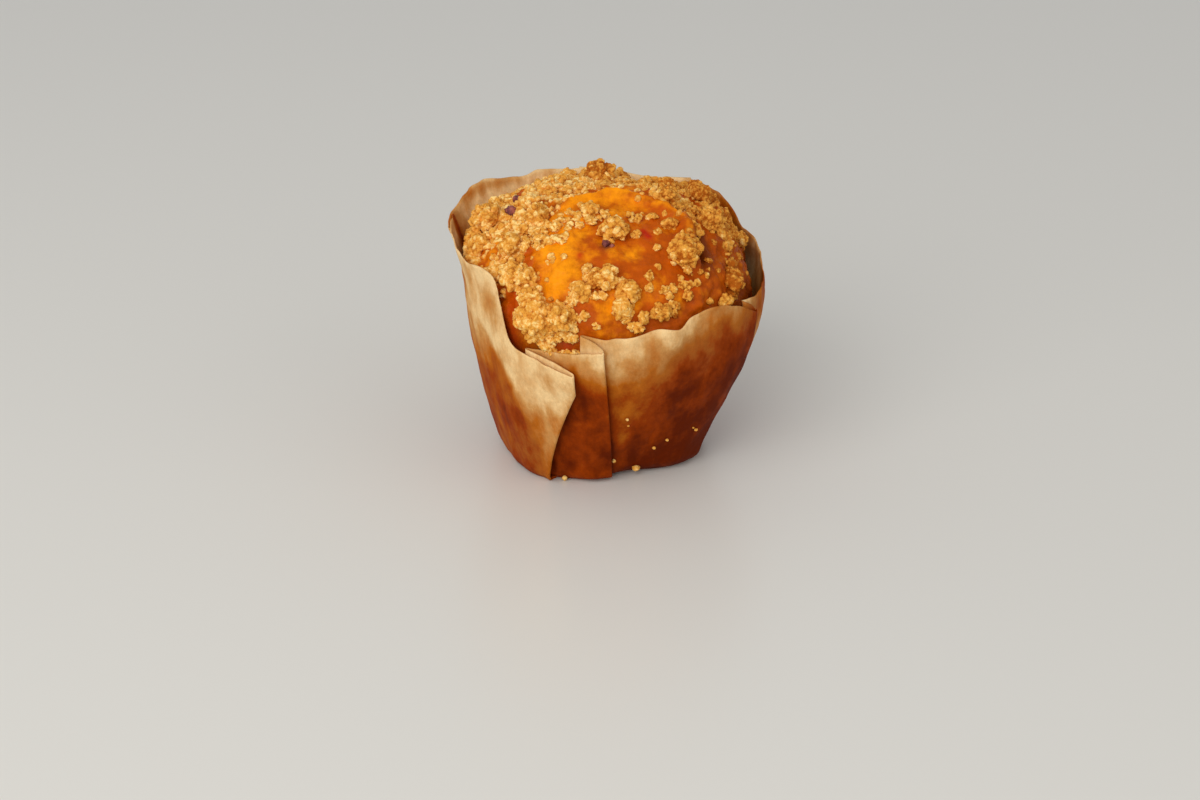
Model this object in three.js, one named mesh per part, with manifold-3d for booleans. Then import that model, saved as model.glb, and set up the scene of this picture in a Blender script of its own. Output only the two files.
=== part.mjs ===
// A crumble-topped muffin in a folded parchment case, standing on its base.
// Millimetres, +Z up. The origin is the middle of the case's flat underside.
// Bearings are in degrees: 0 is the front (-Y), 90 the right (+X), 180 the back and -90 the left.
import * as THREE from "three";
import { mergeVertices } from "three/addons/utils/BufferGeometryUtils.js";
import Module from "manifold-3d";

const wasm = await Module();
wasm.setup();

// Outline of the case's wall: a round foot, pressed in and rounded off at the front right, and a
// wider mouth. Lopsided values are added at the right and taken off at the left.
const FOOT = { radius: 26, lopsided: -1 };
const FOOT_DENT = { depth: 5, bearing: 14, spread: 32 };
const FOOT_ROUND = { least: 0.8, more: 2.2, bearing: 35, spread: 50, height: 4 };
const MOUTH = { radius: 38.2, lopsided: 1.5, z: 50 };
const BOW = { out: 0.685, lopsided: 0.015 }; // how far the wall bows out half way up
const BOW_DROP = { drop: -0.495, lopsided: -0.555 }; // below 0 the bow sits high, above 0 low
const LEAN_ABOVE_MOUTH = 0.12; // outward slope of the paper above the mouth
const PETAL_LEAN = { extra: 0.3, bearing: -118, spread: 34 }; // the petal that opens further

// Parchment: one sheet, doubled back on itself at each pleat.
const PAPER = 0.45;
const LAYER = 0.78; // from the middle of one layer to the middle of the next
const FOLD = LAYER / 2; // half width of the bend at the edge of a pleat
const BASE_PAPER = 0.6;
const WALL_FOOT_Z = 0.15;
const WALL_ROWS = [0, 0.03, 0.09, 0.22, 0.38, 0.54, 0.7, 0.85, 1]; // as shares of the height
const LONGEST_STEP = 9.5; // degrees between two points round the wall
const SHARPEST_MITRE = 0.7; // keeps the paper from growing thick at a sharp corner

// Each pleat: the bearing of its outer edge at the foot and above topZ, how far the hidden layer
// reaches back under it, and how far the edge stands off the layers below, both at foot and top.
// climb is the distance over which the sheet rises onto the two layers below. rimZ is the rim at
// the outer edge and innerRimZ the rim at the hidden fold. rim gives the panel that follows, as
// bearing and height, up to the next pleat's edge.
const PLEATS = [
  {
    name: "front flap",
    foot: -32, top: -11.6, topZ: 31.5,
    depth: [2.5, 13.5], standoff: [1.2, 2.6], climb: 14,
    rimZ: 37.5, innerRimZ: 41.4,
    rim: [[-19.2, 42]],
  },
  {
    name: "front seam",
    foot: 3, top: -1.3, topZ: 42,
    depth: [2, 5.6], standoff: [0.1, 0.3], climb: 9,
    rimZ: 43.8, innerRimZ: 47.5,
    rim: [[-1, 46.5], [14, 47.7], [19, 49.2], [27, 48.5], [31, 50.2], [40, 51.9], [46, 51.4], [54, 49.3]],
  },
  {
    name: "right edge",
    foot: 62, top: 63, topZ: 44,
    depth: [2, 4], standoff: [0.1, 0.2], climb: 14,
    rimZ: 45.8, innerRimZ: 49.6,
    rim: [[68, 48.4], [92, 47.6], [95, 49.6], [109, 52.6], [119, 53], [126, 57.2], [133, 59.4], [147, 60]],
  },
  {
    name: "back edge",
    foot: 156, top: 160, topZ: 60,
    depth: [2, 9], standoff: [0.2, 0.6], climb: 12,
    rimZ: 58.8, innerRimZ: 60.8,
    rim: [[166, 59.8], [172, 60.4]],
  },
  {
    name: "back seam",
    foot: 186, top: 190, topZ: 60,
    depth: [2, 7], standoff: [0.1, 0.4], climb: 8,
    rimZ: 61.4, innerRimZ: 61.6,
    rim: [
      [194, 61.7], [207, 62.6], [214, 61.4], [222, 62.3], [230, 63.2], [237, 62.6], [247, 60.1], [256, 58.7],
    ],
  },
  {
    name: "left edge",
    foot: 248, top: 260, topZ: 56,
    depth: [2, 4], standoff: [0.1, 0.3], climb: 14,
    rimZ: 57.2, innerRimZ: 60,
    rim: [
      [265, 60.2], [273, 60.2], [280, 59], [288, 58.4], [295, 57.8], [305, 59], [313, 57.8],
      [315.6, 52.8], [318.6, 47], [320, 43], [323, 41.2], [330, 40.1],
    ],
  },
];

// The cake: it fills the case up to its shoulder and domes above it.
const CAKE_CLEARANCE = 0.45; // from the paper
const CAKE_FLOOR_Z = 0.95;
const CAKE_WALL_ROWS = 6;
const CAKE_DOME_ROWS = 13;
const CAKE_STEP = 6; // degrees
const SHOULDER = { z: 44.5, lowerAtFront: 3, lowerAtRight: 4.5 };
const APEX_Z = 67.4;
const DOME_FULLNESS = 2.5; // exponent of the dome's outline, 2 is an ellipse
const SWELL_FADE = 1.6; // the swellings fade out towards the shoulder

// Swellings of the crust, as plan position, reach along and across, turn of the long axis, height.
const SWELLS = [
  { x: 1, y: -6, along: 17, across: 12, turn: 10, height: 1.6 }, // the smooth burst in the middle
  { x: 9, y: 6, along: 10, across: 5, turn: -28, height: 1.5 }, // its upper lobe
  { x: 21, y: 14, along: 9, across: 7, turn: 0, height: 2.2 }, // the back right
  { x: -30, y: 4, along: 8, across: 12, turn: 0, height: 1 }, // the left
  { x: 24, y: -12, along: 11, across: 9, turn: 70, height: 0.8 }, // the right
  { x: 4, y: 16, along: 10, across: 4, turn: 0, height: -1.2 }, // the hollow behind the lobe
  { x: -13, y: 19, along: 11, across: 6, turn: 25, height: 1.4 }, // the back left
];

// Crumble lumps that stand out, by bearing, place between shoulder (0) and top (1), and radius.
const LUMPS = [
  { bearing: -28, up: 0.15, size: 5 }, // the big lump at the front left
  { bearing: -31, up: 0.25, size: 3.4 },
  { bearing: -18, up: 0.16, size: 3.1 },
  { bearing: -43, up: 0.33, size: 3.2 },
  { bearing: -36, up: 0.35, size: 2.4 },
  { bearing: -2, up: 0.44, size: 3.1 }, // the front middle
  { bearing: -11, up: 0.36, size: 2.4 },
  { bearing: 9, up: 0.38, size: 2.6 },
  { bearing: 6, up: 0.29, size: 2.4 },
  { bearing: 21, up: 0.27, size: 2 },
  { bearing: 42, up: 0.53, size: 4.1 }, // the round lump at the right
  { bearing: 62, up: 0.3, size: 2.8 },
  { bearing: 81, up: 0.57, size: 3.3 },
  { bearing: 86, up: 0.77, size: 3.2 },
  { bearing: 117, up: 0.56, size: 2.6 },
  { bearing: 134, up: 0.65, size: 2.9 }, // the peak on the right of the ridge
  { bearing: -175, up: 0.62, size: 3.5 }, // the lump on the ridge
  { bearing: -91, up: 0.43, size: 3.9 }, // the left
  { bearing: -77, up: 0.34, size: 2.9 },
  { bearing: -90, up: 0.65, size: 3.3 },
  { bearing: -62, up: 0.66, size: 2.8 },
  { bearing: -124, up: 0.7, size: 3.3 },
  { bearing: 5, up: 0.7, size: 3.1 }, // above the burst
  { bearing: -55, up: 0.46, size: 2.9 },
];
const LUMP_SUNK = 0.34; // share of a lump's height that is under the crust
const FINER_FROM = 3.05; // lumps this large get more facets
const CRUMB_ROUGHNESS = 0.22;
const CRUMB_FLATNESS = [0.72, 1];

// Granules scattered over the dome, largest first, thick on the left and along the back. The bare
// patches are places on the dome, with the reach of each in mm.
const GRANULES = 104;
const GRANULE_TRIES = 2000;
const GRANULE_SIZE = [2.4, 1];
const GRANULE_SUNK = 0.34;
const GRANULE_SPACING = 0.72; // of the sum of two radii
const COVER = { front: 0.3, left: 1, back: 1 }; // share of the tries that are kept
const COVER_LEFT = { from: -2, over: 16 }; // mm towards the left over which the cover thickens
const COVER_BACK = { from: 3, over: 10 };
const BARE_PATCHES = [
  { bearing: 11, up: 0.55, reach: 9 }, // the burst
  { bearing: -26, up: 0.53, reach: 8 },
  { bearing: 53, up: 0.83, reach: 6 }, // the lobe
  { bearing: -25, up: 0.88, reach: 7 },
  { bearing: 54, up: 0.4, reach: 7 }, // the right
];
const CRUMB_MARGIN = 0.45; // from the paper
const RIM_REACH = 9; // degrees of rim to either side that a crumb must clear
const CRUMB_LIFT = 3; // the most that a crumb is lifted to clear the rim
const CRUMB_SEED = 11;

const DEG = Math.PI / 180;
const GOLDEN_TURN = Math.PI * (3 - Math.sqrt(5));

const lerp = (a, b, t) => a + (b - a) * t;
const clamp = (t) => Math.min(1, Math.max(0, t));
const smooth = (t) => clamp(t) ** 2 * (3 - 2 * clamp(t));
const angleFrom = (a, b) => ((a - b + 540) % 360) - 180;
const bell = (a, centre, spread) => Math.exp(-((angleFrom(a, centre) / spread) ** 2));

// A seeded random number generator, from 0 to 1.
function seeded(seed) {
  let state = seed;
  return () => {
    state = (state * 1664525 + 1013904223) % 4294967296;
    return state / 4294967296;
  };
}

// The middle of the wall's innermost layer at a bearing and a height.
function wallRadius(bearing, z) {
  const side = Math.sin(bearing * DEG);
  const dent = FOOT_DENT.depth * bell(bearing, FOOT_DENT.bearing, FOOT_DENT.spread);
  const foot = FOOT.radius + FOOT.lopsided * side - dent;
  const mouth = MOUTH.radius + MOUTH.lopsided * side;
  const t = Math.min(z / MOUTH.z, 1);
  const bow = BOW.out + BOW.lopsided * side + (BOW_DROP.drop + BOW_DROP.lopsided * side) * (1 - 2 * t);
  const round = FOOT_ROUND.least + FOOT_ROUND.more * bell(bearing, FOOT_ROUND.bearing, FOOT_ROUND.spread);
  const tuck = round * Math.max(0, 1 - z / FOOT_ROUND.height) ** 2;
  const lean = LEAN_ABOVE_MOUTH + PETAL_LEAN.extra * bell(bearing, PETAL_LEAN.bearing, PETAL_LEAN.spread);
  return lerp(foot, mouth, t + t * (1 - t) * bow) - tuck + lean * Math.max(0, z - MOUTH.z);
}

// A point at a bearing, a radius and a height.
function place(bearing, radius, z) {
  return new THREE.Vector3(radius * Math.sin(bearing * DEG), -radius * Math.cos(bearing * DEG), z);
}

const pleatEdge = (pleat, z) => lerp(pleat.foot, pleat.top, clamp(z / pleat.topZ));
const pleatDepth = (pleat, z) => lerp(pleat.depth[0], pleat.depth[1], clamp(z / pleat.topZ));
const pleatStandoff = (pleat, z) => lerp(pleat.standoff[0], pleat.standoff[1], clamp(z / pleat.topZ));

// How far the sheet bellies away from the layers under it, at a distance from the pleat's edge.
function standoffAt(pleat, z, fromEdge) {
  return pleatStandoff(pleat, z) * clamp(1 - fromEdge / pleatDepth(pleat, z)) ** 2;
}

const arcToDegrees = (arc, bearing, z) => arc / wallRadius(bearing, z) / DEG;

// Where a panel starts, at the hidden fold of the pleat before it.
function panelStart(pleat, z) {
  const edge = pleatEdge(pleat, z);
  return edge - arcToDegrees(pleatDepth(pleat, z) - FOLD, edge, z);
}

// Where a panel ends, just short of its own pleat's outer edge.
function panelEnd(pleat, z) {
  const edge = pleatEdge(pleat, z);
  return edge - arcToDegrees(FOLD, edge, z);
}

// The corners of a panel's rim and points between them, as bearing and height.
function panelRim(corners) {
  const points = [corners[0]];
  for (const [bearing, z] of corners.slice(1)) {
    const [fromBearing, fromZ] = points.at(-1);
    const steps = Math.ceil((bearing - fromBearing) / LONGEST_STEP);
    for (let step = 1; step <= steps; step++) {
      points.push([lerp(fromBearing, bearing, step / steps), lerp(fromZ, z, step / steps)]);
    }
  }
  return points;
}

// One column of points of the sheet: rimZ is its rim, and at(z) gives its bearing and its distance
// out from the innermost layer.
function panelColumns(previous, pleat, turn) {
  const start = (z) => panelStart(previous, z) - turn;
  const rimStart = start(previous.innerRimZ);
  const rimEnd = panelEnd(pleat, pleat.rimZ);
  const corners = [
    [rimStart, previous.innerRimZ],
    ...previous.rim.map(([bearing, z]) => [bearing - turn, z]),
    [rimEnd, pleat.rimZ],
  ];
  return panelRim(corners).map(([rimBearing, rimZ]) => {
    const along = (rimBearing - rimStart) / (rimEnd - rimStart);
    const at = (z) => {
      const bearing = lerp(start(z), panelEnd(pleat, z), along);
      const fromEdge = (pleatEdge(pleat, z) - bearing) * DEG * wallRadius(bearing, z);
      const climbed = smooth((pleatDepth(pleat, z) + pleat.climb - fromEdge) / pleat.climb);
      return [bearing, 2 * LAYER * climbed + standoffAt(pleat, z, fromEdge)];
    };
    return { rimZ, shown: true, at };
  });
}

// The columns of a pleat: round its outer edge, back under the panel and round the hidden fold.
function pleatColumns(pleat) {
  const turns = [
    { arc: () => 0, layers: 1.5 },
    { arc: () => FOLD, layers: 1 },
    { arc: (depth) => depth / 2, layers: 1 },
    { arc: (depth) => depth - FOLD, layers: 1 },
    { arc: (depth) => depth, layers: 0.5 },
  ];
  return turns.map(({ arc, layers }) => {
    const rimShare = Math.sqrt(arc(pleat.depth[1]) / pleat.depth[1]);
    const at = (z) => {
      const edge = pleatEdge(pleat, z);
      const back = arc(pleatDepth(pleat, z));
      return [edge - arcToDegrees(back, edge, z), layers * LAYER + standoffAt(pleat, z, back)];
    };
    return { rimZ: lerp(pleat.rimZ, pleat.innerRimZ, rimShare), shown: false, at };
  });
}

// The path of the sheet round the wall, column by column.
function sheetPath() {
  return PLEATS.flatMap((pleat, index) => {
    const previous = PLEATS.at(index - 1);
    return [...panelColumns(previous, pleat, index === 0 ? 360 : 0), ...pleatColumns(pleat)];
  });
}

// The points of one row of the sheet, moved to one face of the paper: side is 1 outside, -1 inside.
function sheetRow(path, share, side) {
  const middle = path.map(({ rimZ, at }) => {
    const z = lerp(WALL_FOOT_Z, rimZ, share);
    const [bearing, out] = at(z);
    return place(bearing, wallRadius(bearing, z) + out, z);
  });
  return middle.map((point, i) => {
    const before = middle[(i + middle.length - 1) % middle.length];
    const after = middle[(i + 1) % middle.length];
    const arriving = new THREE.Vector2(point.x - before.x, point.y - before.y).normalize();
    const leaving = new THREE.Vector2(after.x - point.x, after.y - point.y).normalize();
    const normal = new THREE.Vector2(arriving.y + leaving.y, -arriving.x - leaving.x).normalize();
    const mitre = Math.max(SHARPEST_MITRE, Math.abs(normal.dot(new THREE.Vector2(arriving.y, -arriving.x))));
    const shift = (side * PAPER) / 2 / mitre;
    return new THREE.Vector3(point.x + normal.x * shift, point.y + normal.y * shift, point.z);
  });
}

// Closes rings of points into a solid. Each ring runs the same way and has the same length.
function loftRings(rings) {
  const count = rings[0].length;
  const positions = rings.flat().flatMap((p) => [p.x, p.y, p.z]);
  const faces = [];
  for (let r = 0; r < rings.length; r++) {
    const next = (r + 1) % rings.length;
    for (let i = 0; i < count; i++) {
      const j = (i + 1) % count;
      const [a, b, c, d] = [r * count + i, r * count + j, next * count + j, next * count + i];
      faces.push(a, b, c, a, c, d);
    }
  }
  return { positions, faces };
}

function manifoldOf({ positions, faces }) {
  return new wasm.Manifold(
    new wasm.Mesh({
      numProp: 3,
      vertProperties: new Float32Array(positions),
      triVerts: new Uint32Array(faces),
    }),
  );
}

function geometryOf(solid) {
  const mesh = solid.getMesh();
  const geometry = new THREE.BufferGeometry();
  geometry.setAttribute("position", new THREE.BufferAttribute(mesh.vertProperties, 3));
  geometry.setIndex(new THREE.BufferAttribute(mesh.triVerts, 1));
  geometry.computeVertexNormals();
  return geometry;
}

// A closed form from rings that run from a bottom point to a top point.
function domedSolid(bottom, rings, top) {
  const count = rings[0].length;
  const points = [bottom, ...rings.flat(), top];
  const faces = [];
  const at = (r, i) => 1 + r * count + (i % count);
  const last = points.length - 1;
  for (let i = 0; i < count; i++) {
    faces.push(0, at(0, i + 1), at(0, i));
    for (let r = 0; r + 1 < rings.length; r++) {
      faces.push(at(r, i), at(r, i + 1), at(r + 1, i + 1));
      faces.push(at(r, i), at(r + 1, i + 1), at(r + 1, i));
    }
    faces.push(at(rings.length - 1, i), at(rings.length - 1, i + 1), last);
  }
  return manifoldOf({ positions: points.flatMap((p) => [p.x, p.y, p.z]), faces });
}

// The parchment case: the pleated wall and the flat base, as one sheet.
function paperCase() {
  const path = sheetPath();
  const rings = [];
  for (const share of WALL_ROWS) rings.push(sheetRow(path, share, 1));
  for (const share of WALL_ROWS.toReversed()) rings.push(sheetRow(path, share, -1));
  const wall = manifoldOf(loftRings(rings));

  // The base reaches the outermost layer at every bearing.
  const outline = path.filter((column) => column.shown).map((column) => column.at(WALL_FOOT_Z));
  const shown = outline.filter(([bearing], i) => {
    const before = outline[(i + outline.length - 1) % outline.length][0];
    return angleFrom(bearing, before) > 0;
  });
  const ring = (z) => shown.map(([b, out]) => place(b, wallRadius(b, z) + out, z));
  const base = domedSolid(
    new THREE.Vector3(0, 0, 0),
    [ring(0), ring(BASE_PAPER)],
    new THREE.Vector3(0, 0, BASE_PAPER),
  );
  return wall.add(base);
}

// Height added to the crust by its swellings, at a plan position.
function swellAt(x, y) {
  return SWELLS.reduce((sum, s) => {
    const c = Math.cos(s.turn * DEG);
    const n = Math.sin(s.turn * DEG);
    const u = ((x - s.x) * c + (y - s.y) * n) / s.along;
    const v = ((y - s.y) * c - (x - s.x) * n) / s.across;
    return sum + s.height * Math.exp(-(u * u + v * v));
  }, 0);
}

function shoulderZ(bearing) {
  const { z, lowerAtFront, lowerAtRight } = SHOULDER;
  return z - lowerAtFront * Math.cos(bearing * DEG) - lowerAtRight * Math.sin(bearing * DEG);
}

const cakeRadius = (bearing, z) => wallRadius(bearing, z) - PAPER / 2 - CAKE_CLEARANCE;

// A point of the crust: up runs from 0 at the shoulder to 1 at the top.
function crustPoint(bearing, up) {
  const low = shoulderZ(bearing);
  const cos = Math.cos((up * Math.PI) / 2);
  const sin = Math.sin((up * Math.PI) / 2);
  const size = (cos ** DOME_FULLNESS + sin ** DOME_FULLNESS) ** (1 / DOME_FULLNESS);
  const point = place(bearing, (cakeRadius(bearing, low) * cos) / size, lerp(low, APEX_Z, sin / size));
  point.z += swellAt(point.x, point.y) * smooth((SWELL_FADE * sin) / size);
  return point;
}

// The outward direction of the crust, from points a little way to each side.
function crustNormal(bearing, up) {
  const reach = 0.02;
  const middle = Math.min(1 - reach, Math.max(reach, up));
  const round = crustPoint(bearing + 1, middle).sub(crustPoint(bearing - 1, middle));
  const rise = crustPoint(bearing, middle + reach).sub(crustPoint(bearing, middle - reach));
  return round.cross(rise).normalize();
}

function cakeBody() {
  const bearings = Array.from({ length: 360 / CAKE_STEP }, (_, i) => i * CAKE_STEP);
  const rings = [];
  for (let row = 0; row < CAKE_WALL_ROWS; row++) {
    rings.push(
      bearings.map((bearing) => {
        const z = lerp(CAKE_FLOOR_Z, shoulderZ(bearing), row / CAKE_WALL_ROWS);
        return place(bearing, cakeRadius(bearing, z), z);
      }),
    );
  }
  for (let row = 0; row < CAKE_DOME_ROWS; row++) {
    rings.push(bearings.map((bearing) => crustPoint(bearing, row / CAKE_DOME_ROWS)));
  }
  return domedSolid(new THREE.Vector3(0, 0, CAKE_FLOOR_Z), rings, crustPoint(0, 1));
}

// The paper's rim as points by bearing, for keeping crumbs off it.
const rimPoints = sheetPath().map((column) => ({ bearing: column.at(column.rimZ)[0], z: column.rimZ }));

function rimHeight(bearing) {
  const near = rimPoints.filter((point) => Math.abs(angleFrom(point.bearing, bearing)) < RIM_REACH);
  return Math.max(...near.map((point) => point.z));
}

// Moves a crumb's centre clear of the paper beside it: up where it almost clears the rim, else in.
function clearOfPaper(centre, size) {
  const bearing = Math.atan2(centre.x, -centre.y) / DEG;
  const bottom = centre.z - size;
  const lift = rimHeight(bearing) + CRUMB_MARGIN - bottom;
  if (lift < CRUMB_LIFT) return centre.setZ(centre.z + Math.max(0, lift));
  const room = wallRadius(bearing, Math.max(bottom, 0)) - PAPER / 2 - CRUMB_MARGIN - size;
  const radius = Math.min(Math.hypot(centre.x, centre.y), room);
  return place(bearing, radius, centre.z);
}

// Whether a crumb at a place on the crust would still show once it is clear of the paper.
function hasRoom(point, size) {
  const bearing = Math.atan2(point.x, -point.y) / DEG;
  if (point.z > rimHeight(bearing)) return true;
  const room = wallRadius(bearing, point.z) - PAPER / 2 - CRUMB_MARGIN;
  return Math.hypot(point.x, point.y) + size < room;
}

// One crumb: a rough faceted ball, partly sunk in the crust.
function crumb({ bearing, up, size }, sunk, random) {
  const ball = new THREE.IcosahedronGeometry(1, size > FINER_FROM ? 1 : 0);
  ball.deleteAttribute("normal");
  ball.deleteAttribute("uv");
  const merged = mergeVertices(ball, 1e-4);
  const points = merged.attributes.position;
  const flat = lerp(CRUMB_FLATNESS[0], CRUMB_FLATNESS[1], random());
  const turn = new THREE.Quaternion().setFromAxisAngle(new THREE.Vector3(0, 0, 1), random() * 2 * Math.PI);
  const normal = crustNormal(bearing, up);
  const stand = new THREE.Quaternion().setFromUnitVectors(new THREE.Vector3(0, 0, 1), normal);
  const lift = size * flat * (1 - 2 * sunk);
  const widest = size * (1 + CRUMB_ROUGHNESS / 2);
  const centre = clearOfPaper(crustPoint(bearing, up).addScaledVector(normal, lift), widest);
  const point = new THREE.Vector3();
  for (let i = 0; i < points.count; i++) {
    point.fromBufferAttribute(points, i);
    point.multiplyScalar(size * lerp(1 - CRUMB_ROUGHNESS, 1 + CRUMB_ROUGHNESS / 2, random()));
    point.z *= flat;
    point.applyQuaternion(turn).applyQuaternion(stand).add(centre);
    points.setXYZ(i, point.x, point.y, point.z);
  }
  return manifoldOf({ positions: points.array, faces: merged.index.array });
}

// How thickly granules lie at a place on the crust, from 0 to 1.
function crumbCover(bearing, up) {
  const point = crustPoint(bearing, up);
  const { front, left, back } = COVER;
  const leftward = smooth((COVER_LEFT.from - point.x) / COVER_LEFT.over);
  const backward = smooth((point.y - COVER_BACK.from) / COVER_BACK.over);
  const cover = lerp(lerp(front, left, leftward), back, backward);
  return BARE_PATCHES.reduce((share, patch) => {
    const away = crustPoint(patch.bearing, patch.up).distanceTo(point);
    return share * (1 - Math.exp(-((away / patch.reach) ** 2)));
  }, cover);
}

function crumble() {
  const random = seeded(CRUMB_SEED);
  const crumbs = LUMPS.map((lump) => crumb(lump, LUMP_SUNK, random));
  const taken = LUMPS.map(({ bearing, up, size }) => ({ point: crustPoint(bearing, up), size }));
  const total = LUMPS.length + GRANULES;
  for (let i = 0; i < GRANULE_TRIES && crumbs.length < total; i++) {
    const placed = (crumbs.length - LUMPS.length) / GRANULES;
    const size = lerp(GRANULE_SIZE[0], GRANULE_SIZE[1], Math.sqrt(placed));
    const bearing = (i * GOLDEN_TURN) / DEG;
    const up = Math.asin(random()) / (Math.PI / 2);
    const point = crustPoint(bearing, up);
    const free = taken.every((t) => t.point.distanceTo(point) > GRANULE_SPACING * (t.size + size));
    if (!free || !hasRoom(point, size) || random() > crumbCover(bearing, up)) continue;
    taken.push({ point, size });
    crumbs.push(crumb({ bearing, up, size }, GRANULE_SUNK, random));
  }
  return crumbs;
}

// The muffin: cake and crumble as one solid. Loose scraps left by the joining are dropped.
function muffin() {
  const joined = wasm.Manifold.union([cakeBody(), ...crumble()]);
  const pieces = joined.decompose().sort((a, b) => b.volume() - a.volume());
  return pieces[0];
}

const parchment = new THREE.MeshStandardMaterial({ color: 0xc08a50, roughness: 0.7, metalness: 0 });
const crust = new THREE.MeshStandardMaterial({ color: 0xc8862f, roughness: 0.6, metalness: 0 });

const group = new THREE.Group();
for (const [name, solid, material] of [
  ["paper_case", paperCase(), parchment],
  ["muffin", muffin(), crust],
]) {
  const mesh = new THREE.Mesh(geometryOf(solid), material);
  mesh.name = name;
  group.add(mesh);
}

export default group;
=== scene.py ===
"""A crumble-topped muffin in a pleated parchment case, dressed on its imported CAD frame.

Shapes are worked out in millimetres and become metres when a mesh is made. The origin is the middle
of the case's flat underside, with +Z up. Bearings are in degrees: 0 is the front (-Y), 90 the right
(+X), 180 the back and -90 the left.
"""

import logging
import math
from dataclasses import dataclass, field
from enum import Enum
from typing import Iterator, Sequence

import bmesh
import bpy
import numpy as np
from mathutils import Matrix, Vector, noise


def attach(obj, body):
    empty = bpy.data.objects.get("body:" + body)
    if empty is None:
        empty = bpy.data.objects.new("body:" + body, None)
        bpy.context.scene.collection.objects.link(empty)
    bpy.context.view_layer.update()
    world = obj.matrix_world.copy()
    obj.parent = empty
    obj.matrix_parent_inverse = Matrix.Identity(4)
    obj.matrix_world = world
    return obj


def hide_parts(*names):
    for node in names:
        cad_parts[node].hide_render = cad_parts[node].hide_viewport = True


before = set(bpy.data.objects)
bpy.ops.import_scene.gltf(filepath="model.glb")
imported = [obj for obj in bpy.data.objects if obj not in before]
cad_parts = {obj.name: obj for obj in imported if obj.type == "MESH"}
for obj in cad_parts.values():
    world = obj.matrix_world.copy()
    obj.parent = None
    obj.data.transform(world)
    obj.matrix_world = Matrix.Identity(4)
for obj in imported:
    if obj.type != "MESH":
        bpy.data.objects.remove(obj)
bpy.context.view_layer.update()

MM = 0.001
BODY = "root"
KNOB_SEED = 5
KNOB_BEND = 0.55
KNOB_BEND_FINENESS = 0.9
KNOB_REACH = 0.85
KNOB_TONES = Vector((91.7, 57.3, 33.1))
LOG = logging.getLogger("muffin")

Array = np.ndarray
Number = float | Array
Colour = tuple[float, float, float, float]
Socket = bpy.types.NodeSocket
Material = bpy.types.Material
Object = bpy.types.Object


def smooth(share: Number) -> Number:
    """Eases a share from 0 to 1, and holds it at 0 and 1 outside that."""
    held = np.clip(share, 0.0, 1.0)
    return held * held * (3.0 - 2.0 * held)


def lerp(start: Number, end: Number, share: Number) -> Number:
    """The value a share of the way from start to end."""
    return start + (end - start) * share


def turn_from(bearing: Number, other: Number) -> Number:
    """The signed turn in degrees from one bearing to another, from -180 to 180."""
    return (bearing - other + 540.0) % 360.0 - 180.0


def hill(away: Number, width: float) -> Number:
    """A smooth hill that is 1 in its middle, read at a distance from there."""
    return np.exp(-((away / width) ** 2))


def bell(bearing: Number, centre: float, spread: float) -> Number:
    """A smooth hill round a bearing."""
    return hill(turn_from(bearing, centre), spread)


def total(shapes: Sequence[object], *where: Number) -> Number:
    """What several patches, spots or swells add up to at places."""
    return sum(shape.at(*where) for shape in shapes)


def each(kind: type, *rows: tuple[float, ...]) -> tuple:
    """One object of a kind for each row of its values."""
    return tuple(kind(*row) for row in rows)


def fade(value: Number, start: Number, width: Number) -> Number:
    """Eases from 0 at the start to 1 a width after it, or before it for a width under 0."""
    return smooth((value - start) / width)


def profile(corners: Sequence[tuple[float, float]], z: Number) -> Number:
    """A value read at heights, from corners given as height and value."""
    return np.interp(z, *np.array(corners).T)


def place(bearing: Number, radius: Number, z: Number) -> Array:
    """Points at bearings, radii and heights, with x, y and z on the last axis.

    Args:
        bearing: in degrees.
        radius: from the middle line, in mm.
        z: the height in mm.

    Returns:
        The points.
    """
    angle = np.radians(bearing)
    x, y, height = np.broadcast_arrays(radius * np.sin(angle), -radius * np.cos(angle), z)
    return np.stack([x, y, height], axis=-1)


def bearing_of(points: Array) -> Array:
    """The bearing of each point."""
    return np.degrees(np.arctan2(points[..., 0], -points[..., 1]))


def noise_at(points: Array, size: float, seed: float = 0.0, octaves: int = 1) -> Array:
    """Smooth noise from about -1 to 1.

    Args:
        points: where it is read, in mm, with x, y and z on the last axis.
        size: how far across one bump is, in mm.
        seed: shifts the pattern.
        octaves: how many finer layers are added.

    Returns:
        One value for each point.
    """
    flat = points.reshape(-1, 3) / size + seed
    if octaves == 1:
        values = [noise.noise(Vector(p)) for p in flat]
    else:
        values = [noise.fractal(Vector(p), 1.0, 2.0, octaves) for p in flat]
    return np.array(values).reshape(points.shape[:-1])


def knobs_at(points: Array, size: float, seed: float = 0.0) -> tuple[Array, Array]:
    """Uneven knobs packed side by side, as granules that baked together.

    Args:
        points: where they are read, in mm.
        size: how far apart the knobs are, in mm.
        seed: shifts the pattern.

    Returns:
        The height at each point, from 0 between knobs to 1 on top, and a value from 0 to 1 that
        each knob has of its own.
    """
    heights, tones = [], []
    for spot in points.reshape(-1, 3) / size + seed:
        bent = Vector(spot) + KNOB_BEND * noise.noise_vector(Vector(spot) * KNOB_BEND_FINENESS)
        away, centres = noise.voronoi(bent)
        heights.append(max(0.0, 1.0 - (away[0] / KNOB_REACH) ** 2))
        tones.append(0.5 + 0.5 * math.sin(centres[0].dot(KNOB_TONES)))
    shape = points.shape[:-1]
    return np.array(heights).reshape(shape), np.array(tones).reshape(shape)


def srgb(red: int, green: int, blue: int) -> Colour:
    """A colour given as the eye sees it on a screen, from 0 to 255, as linear light."""
    linear = [c / 12.92 if c <= 0.04045 else ((c + 0.055) / 1.055) ** 2.4 for c in
              (red / 255, green / 255, blue / 255)]
    return (linear[0], linear[1], linear[2], 1.0)


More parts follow.
